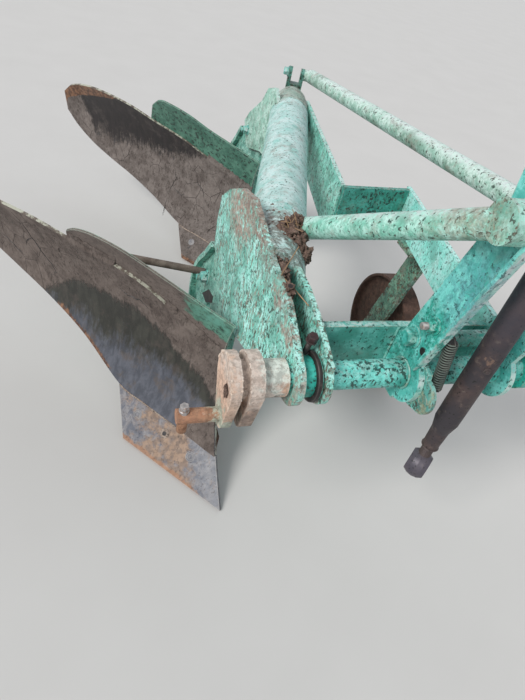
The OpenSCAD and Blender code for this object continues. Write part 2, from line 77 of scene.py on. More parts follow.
# Frame
SHAFT_Y, SHAFT_Z, SHAFT_R = -114, 588, 28
CHEEK_LEFT_FACE = 34
MAST_RIGHT_FACE, MAST_LEFT_FACE, MAST_T = 256, 480, 12
MAST_INSIDE = MAST_RIGHT_FACE + MAST_T
TOP_PIN, LINK_LEN = (368, -174, 1118), 758
PIN_Y, PIN_Z, PIN_R = -122, 508, 14
SHOULDER_RIGHT, SHOULDER_LEFT, PIN_LEN = -97, 728, 77
BEAM_FROM, BEAM_Z, BEAM_R, BEAM_ANGLE = (101, 286), 642, 68, radians(19)
LUG_T, LUG_UP, EAR_OUT = 1106, 88, 30

rng = random.Random(11)


def mm(x, y, z):
    return ORIGIN + Vector((x, y, z)) / 1000


def by_beam(t, out, up):
    """Place distance t along the beam, out to its left and up from its centre line."""
    s, c = sin(BEAM_ANGLE), cos(BEAM_ANGLE)
    return Vector((BEAM_FROM[0] + t * s + out * c, BEAM_FROM[1] + t * c - out * s, BEAM_Z + up))


def smooth(lo, hi, v):
    u = min(max((v - lo) / (hi - lo), 0), 1)
    return u * u * (3 - 2 * u)


def line_at(points, s):
    if s <= points[0][0]:
        return points[0][1]
    for (s0, z0), (s1, z1) in zip(points, points[1:]):
        if s <= s1:
            return z0 + (z1 - z0) * (s - s0) / (s1 - s0)
    return points[-1][1]


# Soil face, as in the part's source
def line_angle(z):
    return radians(EDGE_ANGLE + FACE_TWIST * z / FACE_H)


def fall_back(z):
    return 4 * FACE_DEPTH * (z / FACE_H) * (1 - z / FACE_H)


def face(s, z):
    a = line_angle(z)
    return Vector((-s * sin(a), fall_back(z) + s * cos(a), z))


def face_normal(s, z):
    a = line_angle(z)
    along = Vector((-sin(a), cos(a), 0))
    return along.cross(face(s, z + 1) - face(s, z - 1)).normalized()


def behind(s, z, t):
    return face(s, z) + t * face_normal(s, z)


def on_share(s, z, t):
    """Like behind, for the share, whose cutting edge lies further forward than the curve of the board."""
    return behind(s, z, t) - Vector((0, SHARE_RUN * max(0, 1 - z / SEAM_Z), 0))


def table_slope(table, i, c):
    lo, hi = max(i - 1, 0), min(i + 1, len(table) - 1)
    return (table[hi][c] - table[lo][c]) / (table[hi][0] - table[lo][0])


def table_at(table, s, c):
    """Column c of a table at place s, on a smooth curve through its rows."""
    i = 0
    while i < len(table) - 2 and s >= table[i + 1][0]:
        i += 1
    h = table[i + 1][0] - table[i][0]
    u = (s - table[i][0]) / h
    return ((2 * u**3 - 3 * u**2 + 1) * table[i][c] + (u**3 - 2 * u**2 + u) * h * table_slope(table, i, c)
            + (3 * u**2 - 2 * u**3) * table[i + 1][c] + (u**3 - u**2) * h * table_slope(table, i + 1, c))


# Materials
class Shader:
    """Builds a material from a few kinds of nodes. Noise scales are per metre.

    Arguments called grain are those of noise().
    """

    def __init__(self, name):
        self.mat = bpy.data.materials.new(name)
        self.mat.use_nodes = True
        self.tree = self.mat.node_tree
        self.coord = self.new("TexCoord").outputs["Object"]
        self.color = None

    def new(self, kind, inputs=None, **settings):
        node = self.tree.nodes.new("ShaderNode" + kind)
        for key, value in settings.items():
            setattr(node, key, value)
        for key, value in (inputs or {}).items():
            self.feed(node.inputs[key], value)
        return node

    def feed(self, socket, value):
        if isinstance(value, tuple):
            socket.default_value = (*value, 1) if len(socket.default_value) == 4 else value
        elif isinstance(value, (int, float)):
            socket.default_value = value
        else:
            self.tree.links.new(value, socket)

    def noise(self, scale, detail=3, rough=0.55, distort=0):
        """scale is a number, or one for each axis."""
        inputs = {"Scale": scale, "Vector": self.coord}
        if isinstance(scale, tuple):
            inputs = {"Scale": 1, "Vector": self.new("Mapping", inputs).outputs["Vector"]}
        inputs.update({"Detail": detail, "Roughness": rough, "Distortion": distort})
        return self.new("TexNoise", inputs).outputs["Fac"]

    def cells(self, scale):
        inputs = {"Scale": scale, "Vector": self.coord}
        return self.new("TexVoronoi", inputs, feature="DISTANCE_TO_EDGE").outputs["Distance"]

    def step(self, value, lo, hi):
        """0 where the value is on the side of lo, 1 on the side of hi."""
        inputs = {"From Min": lo, "From Max": hi, "Value": value}
        return self.new("MapRange", inputs, interpolation_type="SMOOTHSTEP").outputs["Result"]

    def math(self, op, a, b):
        return self.new("Math", {0: a, 1: b}, operation=op).outputs[0]

    def times(self, *values):
        return reduce(lambda a, b: self.math("MULTIPLY", a, b), values)

    def add(self, *values):
        return reduce(lambda a, b: self.math("ADD", a, b), values)

    def mix(self, fac, a, b):
        return self.new("Mix", {0: fac, 6: a, 7: b}, data_type="RGBA").outputs[2]

    def patches(self, lo, hi, *grain):
        return self.step(self.noise(*grain), lo, hi)

    def two_tone(self, a, b, lo, hi, *grain):
        return self.mix(self.patches(lo, hi, *grain), a, b)

    def sway(self, amount, *grain):
        """Noise on both sides of zero."""
        return self.times(self.math("SUBTRACT", self.noise(*grain), 0.5), amount)

    def coat(self, tone, *amounts):
        """Lays a tone over the colour so far, as much as the product of the amounts says."""
        self.color = self.mix(self.times(*amounts), self.color, tone)

    def attribute(self, name):
        return self.new("Attribute", attribute_name=name).outputs["Fac"]

    def near(self, at, inner, outer, ragged):
        """1 within inner millimetres of a place in the layout, 0 beyond outer, with a ragged rim."""
        node = self.new("VectorMath", {0: self.coord, 1: tuple(mm(*at))}, operation="DISTANCE")
        distance = self.add(node.outputs["Value"], self.sway(ragged / 500, 38, 5, 0.7))
        return self.step(distance, outer / 1000, inner / 1000)

    def geometry(self, output):
        return self.new("NewGeometry").outputs[output]

    def dot(self, a, b):
        return self.new("VectorMath", {0: a, 1: b}, operation="DOT_PRODUCT").outputs["Value"]

    def upward(self):
        return self.new("SeparateXYZ", {0: self.geometry("Normal")}).outputs["Z"]

    def edges(self, radius):
        """1 at the outer edges of a piece, 0 on its faces."""
        bevel = self.new("Bevel", {"Radius": radius}, samples=4)
        return self.step(self.dot(bevel.outputs["Normal"], self.geometry("True Normal")), 0.995, 0.86)

    def finish(self, rough, metallic=0.0, bumps=()):
        """bumps are (height, strength, distance)."""
        relief = {}
        for height, strength, distance in bumps:
            relief.update({"Strength": strength, "Distance": distance, "Height": height})
            relief = {"Normal": self.new("Bump", relief).outputs["Normal"]}
        looks = {"Base Color": self.color, "Roughness": rough, "Metallic": metallic, **relief}
        for key, value in looks.items():
            self.feed(self.tree.nodes["Principled BSDF"].inputs[key], value)
        return self.mat


PALE = (0.62, 0.7, 0.68)
RUST = (0.15, 0.07, 0.04)
RUST_PALE = (0.44, 0.29, 0.2)
MUD_LIGHT = (0.185, 0.15, 0.13)
MUD_DARK = (0.042, 0.031, 0.026)
SOOT = (0.016, 0.016, 0.015)
TAN = (0.4, 0.32, 0.26)
GRIME = (0.11, 0.1, 0.075)
WORN_EDGE = (0.42, 0.68, 0.6)
STEEL, STEEL_LIGHT = (0.074, 0.08, 0.098), (0.125, 0.132, 0.158)
SCOURED, SCOURED_LIGHT = (0.105, 0.112, 0.138), (0.225, 0.215, 0.222)


def shade_of(color, k):
    return tuple(c * k for c in color)


def paint(name, main, light, deep, sun_fade_and_top_light=0.6, flecks=0.5, rust=0.2, streaks=0.0, dirt=0.2, brown=0.3,
          front=0.0, zones=()):
    """Old green paint; front lays a painted highlight, in pale worn-edge tones, on what faces the front end
    of the plough.

    Zones of rust, dirt or fresh paint are (place, inner, outer, colour, strength).
    """
    m = Shader(name)
    m.color = m.two_tone(main, light, 0.41, 0.59, 34, 6, 0.68)
    m.coat(deep, m.patches(0.5, 0.66, 13, 4), 0.75)
    m.coat(deep, m.patches(0.47, 0.6, 150, 4, 0.72), 0.45)
    fade_and_light_tone = m.two_tone(PALE, light, 0.42, 0.6, 95, 5, 0.72)
    # Paler on upward faces: partly sun-faded paint, partly a painted top highlight.
    m.coat(fade_and_light_tone, m.step(m.upward(), 0.15, 0.9), m.patches(0.34, 0.54, 10, 5, 0.62), sun_fade_and_top_light)
    m.coat(m.mix(m.noise(60, 3), MUD_LIGHT, TAN), m.patches(0.52, 0.66, 23, 6, 0.68), dirt)
    worn = m.two_tone(WORN_EDGE, RUST_PALE, 0.5, 0.58, 85, 3)
    m.coat(worn, m.edges(0.0045), m.patches(0.36, 0.56, 60, 5, 0.7), 0.8)
    # Painted highlight on faces turned to the front end of the plough, in pale worn-edge tones.
    if front:
        ahead = m.step(m.dot(m.geometry("Normal"), (0, -1, 0)), 0.7, 0.9)
        m.coat(m.two_tone(WORN_EDGE, PALE, 0.45, 0.6, 50, 4), ahead, m.patches(0.3, 0.5, 60, 4), front)
    if streaks:
        patchy = m.add(m.times(m.patches(0.36, 0.62, 15, 4), 0.07), -0.035)
        grain = m.add(m.noise((105, 105, 42), 4, 0.66, 0.8), patchy)
        m.coat(deep, m.step(grain, 0.5, 0.55), 0.75 * streaks)
        m.coat(TAN, m.step(grain, 0.565, 0.6), 0.9 * streaks)
        m.coat(GRIME, m.step(grain, 0.62, 0.65), 0.9 * streaks)
    groups = m.add(m.times(m.patches(0.42, 0.6, 21, 3), 0.07 * flecks), 0.03 * flecks)
    dots = m.step(m.add(m.noise((135, 135, 105), 4, 0.66), groups), 0.605, 0.64)
    m.coat(m.mix(m.times(m.patches(0.42, 0.6, 70, 3), brown), shade_of(deep, 0.18), RUST), dots, 0.9)
    chips = m.step(m.add(m.noise(52, 6, 0.74), m.times(m.edges(0.007), 0.07)), 0.665 - 0.08 * rust,
                   0.69 - 0.07 * rust)
    m.coat(m.two_tone(RUST, MUD_DARK, 0.4, 0.6, 120, 4), chips)
    for place, inner, outer, tone, strength in zones:
        mottled = m.two_tone(tone, shade_of(tone, 0.45), 0.4, 0.62, 140, 4, 0.7)
        m.coat(mottled, m.near(place, inner, outer, 90), m.patches(0.38, 0.54, 75, 6, 0.75), strength)
    rough = m.add(m.times(m.noise(40, 3), 0.25), m.add(m.times(chips, 0.25), 0.34))
    pits = m.add(m.times(chips, 0.6), m.times(dots, 0.4))
    height = m.math("SUBTRACT", m.times(m.noise(160, 4), 0.35), pits)
    return m.finish(rough, 0.0, [(height, 0.8, 0.0012), (m.noise(26, 3), 0.25, 0.002)])


def rusty(name, dark, light, dust=0.3, dust_color=MUD_LIGHT, rim=0.0, zones=()):
    """Bare rusted steel with dust on it."""
    m = Shader(name)
    m.color = m.two_tone(dark, light, 0.38, 0.64, 46, 6, 0.72)
    m.coat(dust_color, m.patches(0.42, 0.62, 20, 5, 0.65), dust)
    m.coat(tuple(min(c * 1.25, 0.8) for c in dust_color), m.edges(0.005), rim)
    for place, inner, outer, tone, strength in zones:
        mottled = m.two_tone(tone, shade_of(tone, 0.6), 0.4, 0.62, 90, 5, 0.7)
        m.coat(mottled, m.near(place, inner, outer, 60), strength)
    grain = m.noise(130, 5, 0.78)
    m.coat(shade_of(dark, 0.55), m.step(grain, 0.53, 0.64), 0.5)
    return m.finish(0.88, 0.0, [(grain, 0.9, 0.0022), (m.noise(34, 3), 0.5, 0.003)])


def dark_metal(name, base, brown, shine=0.35, zones=()):
    """Greasy dark steel."""
    m = Shader(name)
    m.color = m.two_tone(base, brown, 0.4, 0.62, 12, 5, 0.62)
    m.coat(MUD_LIGHT, m.patches(0.56, 0.7, 48, 6, 0.72), 0.5)
    m.coat(SOOT, m.patches(0.62, 0.68, 170, 3))
    m.coat((0.16, 0.14, 0.13), m.edges(0.003), 0.4)
    for place, inner, outer, tone, strength in zones:
        m.coat(tone, m.near(place, inner, outer, 40), strength)
    rough = m.add(m.times(m.noise(30, 3), 0.35), shine)
    return m.finish(rough, 0.25, [(m.noise(170, 4), 0.4, 0.0008), (m.noise(24, 3), 0.3, 0.002)])


def soil_board(name, mud, mud_light, dark):
    """Moldboard, muddy, dark, rusty or cracked where its mesh says so; the rest is polished."""
    m = Shader(name)
    wobble = m.sway(1.3, 14, 6, 0.68)
    drips = m.sway(1.2, (120, 120, 26), 5, 0.7)

    def mask(attribute, lo, hi):
        return m.step(m.add(m.attribute(attribute), wobble, drips), lo, hi)

    streaky = m.noise((46, 46, 13), 5, 0.66, 0.4)
    m.color = m.mix(m.step(streaky, 0.38, 0.64), STEEL, STEEL_LIGHT)
    m.coat((0.125, 0.098, 0.08), m.patches(0.5, 0.68, 16, 6, 0.72), 0.6)
    night = m.mix(m.step(streaky, 0.38, 0.66), dark, shade_of(dark, 2.1))
    night = m.mix(m.times(m.patches(0.5, 0.68, 20, 5, 0.7), 0.4), night, mud)
    m.coat(night, mask("dark", 0.2, 0.85))
    soil = m.two_tone(mud, mud_light, 0.36, 0.64, 24, 6, 0.72)
    soil = m.mix(m.times(m.patches(0.5, 0.64, (130, 130, 52), 5, 0.75, 1.0), 0.85), soil, MUD_DARK)
    soil = m.mix(m.times(m.patches(0.5, 0.66, 9, 5, 0.6), 0.5), soil, shade_of(mud_light, 1.35))
    m.coat(soil, mask("mud", 0.3, 0.7))
    tone = m.two_tone((0.1, 0.046, 0.026), (0.3, 0.15, 0.08), 0.4, 0.62, 70, 4, 0.7)
    m.coat(tone, mask("rust", 0.36, 0.66), 0.85)
    split = m.times(m.step(m.cells(15), 0.012, 0.002), m.attribute("cracked"), m.patches(0.5, 0.58, 9, 3))
    m.coat(MUD_DARK, split)
    muddy = mask("mud", 0.36, 0.62)
    rough = m.add(m.times(muddy, 0.42), 0.48)
    metal = m.times(m.math("SUBTRACT", 1.0, m.math("MAXIMUM", muddy, mask("dark", 0.3, 0.7))), 0.3)
    lumps = m.times(m.add(m.noise(80, 6, 0.74), m.times(split, -1.5)), muddy)
    return m.finish(rough, metal, [(lumps, 0.9, 0.005), (m.noise(260, 4), 0.3, 0.0009)])


def rim_look(name):
    """Edge of a moldboard: mud with a worn pale line that comes and goes."""
    m = Shader(name)
    m.color = m.two_tone((0.13, 0.105, 0.085), (0.44, 0.44, 0.36), 0.44, 0.56, 45, 6, 0.72)
    return m.finish(0.8, 0.0, [(m.noise(200, 4), 0.5, 0.001)])


def cover_look(name, mud):
    """Cover board: dark green with black specks, muddy where its mesh says so."""
    m = Shader(name)
    m.color = m.two_tone((0.05, 0.155, 0.11), (0.105, 0.26, 0.19), 0.38, 0.62, 30, 5, 0.65)
    m.coat((0.012, 0.018, 0.015), m.patches(0.545, 0.58, 78, 5, 0.7), 0.85)
    m.coat((0.13, 0.36, 0.28), m.attribute("fresh"), m.patches(0.35, 0.6, 50, 4))
    soil = m.two_tone(mud, shade_of(mud, 1.5), 0.36, 0.64, 28, 6, 0.72)
    soil = m.mix(m.patches(0.52, 0.66, 130, 5, 0.75), soil, MUD_DARK)
    muddy = m.step(m.add(m.attribute("mud"), m.sway(1.3, 26, 6, 0.7)), 0.36, 0.64)
    m.coat(soil, muddy)
    m.coat((0.4, 0.48, 0.4), m.edges(0.004), 0.75)
    rough = m.add(m.times(muddy, 0.35), 0.5)
    return m.finish(rough, 0.0, [(m.noise(170, 5, 0.72), 0.6, 0.0014)])


def share_steel(name):
    """Share: scoured blue-grey steel, orange rust along the cutting edge and dried soil."""
    m = Shader(name)
    m.color = m.two_tone(SCOURED, SCOURED_LIGHT, 0.36, 0.64, (42, 42, 24), 5, 0.68, 1.0)
    m.coat((0.27, 0.275, 0.29), m.attribute("tip"), 0.45)
    brown = m.step(m.add(m.noise(17, 6, 0.74), m.times(m.attribute("brown"), 0.2)), 0.53, 0.7)
    m.coat(m.two_tone((0.2, 0.135, 0.095), (0.31, 0.205, 0.135), 0.42, 0.6, 60, 4), brown, 0.85)
    edge = m.step(m.add(m.attribute("rust"), m.sway(1.6, 40, 5, 0.7)), 0.45, 0.75)
    m.coat(m.mix(m.noise(90, 3), (0.22, 0.105, 0.055), (0.36, 0.2, 0.115)), edge, 0.85)
    m.coat(MUD_DARK, m.patches(0.57, 0.64, 150, 4, 0.66), 0.5)
    m.coat((0.42, 0.4, 0.36), m.edges(0.004), 0.6)
    rough = m.add(m.times(m.noise(50, 4), 0.35), 0.42)
    return m.finish(rough, 0.25, [(m.noise(120, 5, 0.7), 0.5, 0.0012)])


def plain_dirt(name, base, light):
    m = Shader(name)
    m.color = m.two_tone(base, light, 0.35, 0.65, 60, 5, 0.7)
    m.coat(MUD_DARK, m.patches(0.52, 0.62, 260, 4, 0.7))
    return m.finish(0.95, 0.0, [(m.noise(260, 5, 0.75), 0.9, 0.002)])


def bare_steel(name, tone):
    m = Shader(name)
    m.color = m.two_tone(tone, shade_of(tone, 0.6), 0.4, 0.66, 90, 4, 0.65)
    m.coat(RUST_PALE, m.patches(0.58, 0.66, 200, 3), 0.6)
    return m.finish(0.45, 0.5, [(m.noise(180, 3), 0.4, 0.0006)])


def straw_color(name):
    m = Shader(name)
    m.color = m.mix(m.noise(90, 2), (0.46, 0.31, 0.17), (0.25, 0.14, 0.08))
    return m.finish(0.8)


CHEEK = paint(
    "cheek_paint", (0.31, 0.8, 0.68), (0.55, 0.98, 0.9), (0.11, 0.4, 0.31),
    sun_fade_and_top_light=0.4, flecks=0.8, streaks=0.85, dirt=0.12, zones=[
        ((24, 330, 705), 60, 145, (0.5, 0.36, 0.29), 0.95),
        ((27, 250, 735), 30, 90, (0.36, 0.26, 0.21), 0.9),
        ((27, 120, 700), 20, 85, (0.24, 0.16, 0.13), 0.7),
        ((27, -20, 670), 10, 60, (0.24, 0.16, 0.13), 0.6),
        ((27, -130, 560), 34, 78, (0.5, 0.42, 0.36), 0.9),
        ((20, -62, 652), 12, 44, (0.5, 0.38, 0.31), 0.85),
        ((20, 10, 676), 8, 40, (0.46, 0.34, 0.28), 0.8),
        ((20, 175, 712), 10, 46, (0.4, 0.28, 0.22), 0.8)])
BEAM = paint(
    "beam_paint", (0.32, 0.64, 0.58), (0.6, 0.78, 0.76), (0.12, 0.42, 0.36),
    flecks=0.15, rust=0.0, brown=0.2, dirt=0.45, zones=[
        ((60, 170, 700), 60, 150, (0.17, 0.15, 0.12), 0.8),
        ((20, 260, 700), 20, 80, (0.2, 0.15, 0.12), 0.7)])
CONE = paint(
    "cone_paint", (0.3, 0.44, 0.37), (0.42, 0.46, 0.39), (0.2, 0.32, 0.25),
    sun_fade_and_top_light=0.2, flecks=0.6, rust=0.5, dirt=1.0)
FRAME = paint(
    "frame_paint", (0.085, 0.38, 0.32), (0.15, 0.5, 0.44), (0.045, 0.25, 0.2),
    sun_fade_and_top_light=0.7, flecks=0.3, rust=0.05, brown=0.1)
SIDE = paint(
    "side_paint", (0.34, 0.88, 0.78), (0.54, 0.97, 0.91), (0.15, 0.49, 0.41),
    sun_fade_and_top_light=0.8, flecks=0.4, rust=0.1, dirt=0.3)
# Mast plates: front=0.95 paints a highlight on their front edges.
MAST = paint(
    "mast_paint", (0.09, 0.5, 0.44), (0.22, 0.7, 0.64), (0.045, 0.36, 0.31),
    flecks=0.3, rust=0.0, brown=0.1, front=0.95, zones=[
        ((256, -135, 721), 28, 46, (0.035, 0.42, 0.32), 1.0),
        ((256, -80, 640), 30, 100, (0.03, 0.34, 0.27), 0.8),
        ((256, -185, 820), 30, 120, (0.15, 0.42, 0.46), 0.6)])
REAR_BAR = paint("rear_bar_paint", (0.038, 0.26, 0.2), (0.075, 0.4, 0.33), (0.015, 0.13, 0.1), flecks=0.8)
BRACE = paint(
    "brace_paint", (0.27, 0.72, 0.6), (0.5, 0.92, 0.82), (0.1, 0.33, 0.25),
    sun_fade_and_top_light=0.9, flecks=0.6, rust=0.35, dirt=0.4)
STRUT = paint(
    "strut_paint", (0.24, 0.6, 0.47), (0.5, 0.84, 0.73), (0.1, 0.3, 0.22),
    sun_fade_and_top_light=0.9, flecks=0.45, rust=0.15, dirt=0.5, zones=[((215, -150, 930), 20, 120, (0.4, 0.36, 0.27), 0.6)])
LONG_STRUT = paint(
    "long_strut_paint", (0.34, 0.56, 0.46), (0.62, 0.8, 0.72), (0.16, 0.3, 0.22),
    sun_fade_and_top_light=1.0, flecks=0.35, rust=0.25, dirt=0.6)
SHAFT = paint(
    "shaft_paint", (0.1, 0.56, 0.48), (0.22, 0.77, 0.68), (0.03, 0.24, 0.19),
    sun_fade_and_top_light=0.4, flecks=0.9, rust=0.1, brown=0.1)
CLAMP = paint(
    "clamp_paint", (0.025, 0.44, 0.35), (0.05, 0.58, 0.47), (0.01, 0.2, 0.15),
    sun_fade_and_top_light=0.1, flecks=0.4, rust=0.1, dirt=0.05, zones=[((52, -120, 543), 16, 40, (0.02, 0.045, 0.035), 1.0)])
LUG = paint(
    "lug_paint", (0.05, 0.17, 0.13), (0.11, 0.32, 0.26), (0.02, 0.07, 0.05),
    sun_fade_and_top_light=0.3, flecks=1.0, rust=0.6)
LEG = paint("leg_paint", (0.15, 0.46, 0.37), (0.36, 0.72, 0.6), (0.04, 0.2, 0.15), rust=0.25)
BRACKET = paint(
    "bracket_paint", (0.32, 0.62, 0.5), (0.58, 0.82, 0.72), (0.14, 0.34, 0.25), flecks=0.4, dirt=0.3)
ARM = paint(
    "arm_paint", (0.085, 0.21, 0.15), (0.2, 0.38, 0.27), (0.03, 0.085, 0.065),
    sun_fade_and_top_light=0.4, flecks=1.1, rust=1.3, dirt=0.5, brown=0.9)
LEVER = paint(
    "lever_paint", (0.09, 0.34, 0.3), (0.17, 0.5, 0.43), (0.04, 0.17, 0.14),
    sun_fade_and_top_light=0.3, flecks=0.8, rust=0.4, zones=[((270, -196, 566), 10, 34, (0.34, 0.36, 0.24), 0.9)])
CRANK_LEFT = paint(
    "crank_left_paint", (0.14, 0.42, 0.34), (0.28, 0.6, 0.5), (0.06, 0.22, 0.17),
    sun_fade_and_top_light=0.5, flecks=0.6, rust=0.5, dirt=0.5)
CRANK = rusty(
    "crank_rust", (0.48, 0.31, 0.22), (0.8, 0.54, 0.4),
    dust=0.5, dust_color=(0.66, 0.55, 0.45), rim=0.7, zones=[
        ((-48, -114, 600), 50, 80, (0.72, 0.63, 0.56), 0.8),
        ((-50, -120, 520), 36, 66, (0.27, 0.21, 0.175), 0.9),
        ((-99, -118, 560), 28, 56, (0.74, 0.5, 0.37), 0.85),
        # Near-white patch on top of the drum: partly its pale tone, partly a painted top highlight.
        ((-14, -114, 606), 25, 50, (0.78, 0.84, 0.76), 0.9),
        ((0, -125, 562), 8, 26, (0.12, 0.085, 0.065), 0.8),
        ((-100, -122, 512), 20, 40, (0.5, 0.58, 0.47), 0.8),
        ((-99, -134, 582), 9, 17, (0.22, 0.13, 0.09), 0.4),
        ((-150, -122, 508), 30, 44, (0.42, 0.19, 0.1), 0.85)])
RUST_BROWN = rusty("rust_brown", (0.085, 0.042, 0.026), (0.22, 0.11, 0.06), dust=0.4)
RUST_WHEEL = rusty(
    "rust_wheel", (0.066, 0.036, 0.026), (0.135, 0.07, 0.05), dust=0.2, dust_color=(0.11, 0.075, 0.06))
PIN_RUST = rusty("pin_rust", (0.2, 0.095, 0.05), (0.42, 0.22, 0.13), dust=0.2, dust_color=(0.4, 0.27, 0.18))
STAY = rusty("stay_rust", (0.125, 0.09, 0.072), (0.23, 0.18, 0.15), dust=0.5)
WIRE = dark_metal("spring_wire", (0.085, 0.125, 0.108), (0.14, 0.17, 0.145), shine=0.4)
LINK = dark_metal("dark_link", (0.044, 0.038, 0.044), (0.085, 0.058, 0.055), shine=0.4, zones=[
    ((368, -174, 850), 60, 190, (0.058, 0.054, 0.074), 0.5),
    ((355, -190, 692), 3, 9, (0.24, 0.15, 0.11), 0.7)])
BLACK = dark_metal("black_steel", (0.014, 0.014, 0.015), (0.03, 0.024, 0.022))
BALL = dark_metal("ball_steel", (0.075, 0.068, 0.088), (0.12, 0.105, 0.125), shine=0.3)
SCREW = dark_metal("screw_head", (0.03, 0.014, 0.016), (0.065, 0.03, 0.032))
BOLT = bare_steel("bolt_steel", (0.5, 0.47, 0.46))
RIM = rim_look("board_rim")
DIRT = plain_dirt("dirt", (0.105, 0.064, 0.048), (0.24, 0.16, 0.125))
SEAM = plain_dirt("seam_dirt", (0.26, 0.2, 0.165), (0.42, 0.34, 0.28))
STRAW = straw_color("straw")
BOARD = {
    "front": soil_board("front_board", (0.094, 0.072, 0.062), (0.165, 0.133, 0.116), (0.019, 0.019, 0.015)),
    "rear": soil_board("rear_board", (0.118, 0.096, 0.086), (0.205, 0.174, 0.158), (0.011, 0.008, 0.008)),
}
COVER = {
    "front": cover_look("front_cover", (0.115, 0.092, 0.08)),
    "rear": cover_look("rear_cover", (0.11, 0.09, 0.078)),
}
SHARE = share_steel("share_steel")
SHARE_LOOK = {"front": SHARE, "rear": BOARD["rear"]}

CAD_LOOKS = {
    "beam_tube": BEAM, "beam_cone": CONE, "beam_lug": LUG, "cheek_right": CHEEK, "cheek_left": CHEEK,
    "cross_member": FRAME, "side_bar": SIDE, "rear_bar": REAR_BAR, "brace_bar": BRACE,
    "mast_plate_right": MAST, "mast_plate_left": MAST, "mast_spacer": REAR_BAR, "top_link_pin": RUST_BROWN,
    "pin_sleeve_right": FRAME, "pin_sleeve_left": FRAME, "strut_short": STRUT, "strut_long": LONG_STRUT,
    "spring": BLACK, "cross_shaft": SHAFT, "clamp_ring": CLAMP, "shaft_collar": CLAMP, "crank_right": CRANK,
    "crank_left": CRANK_LEFT, "adjuster_rod": PIN_RUST, "rear_bracket": BRACKET, "wheel_arm": ARM,
    "wheel_axle": BLACK, "depth_wheel": RUST_WHEEL, "top_link_tube": LINK, "top_link_end_upper": LINK,
    "top_link_end_lower": BALL,
}
for which in BODIES:
    looks = {"share": SHARE, "moldboard": BOARD[which], "cover_board": COVER[which], "frog": RUST_BROWN,
             "leg": LEG, "landside": RUST_BROWN, "stay": STAY}
    CAD_LOOKS.update({f"{which}_{part}": look for part, look in looks.items()})

FACETED = ("share", "moldboard", "cover_board", "frog")
for name, obj in nodes.items():
    obj.data.materials.clear()
    obj.data.materials.append(CAD_LOOKS[name])
    if not name.endswith(FACETED):
        edge = obj.modifiers.new("edge", "BEVEL")
        edge.width = 0.0014
        edge.segments = 2
        edge.limit_method = "ANGLE"
        edge.angle_limit = radians(40)


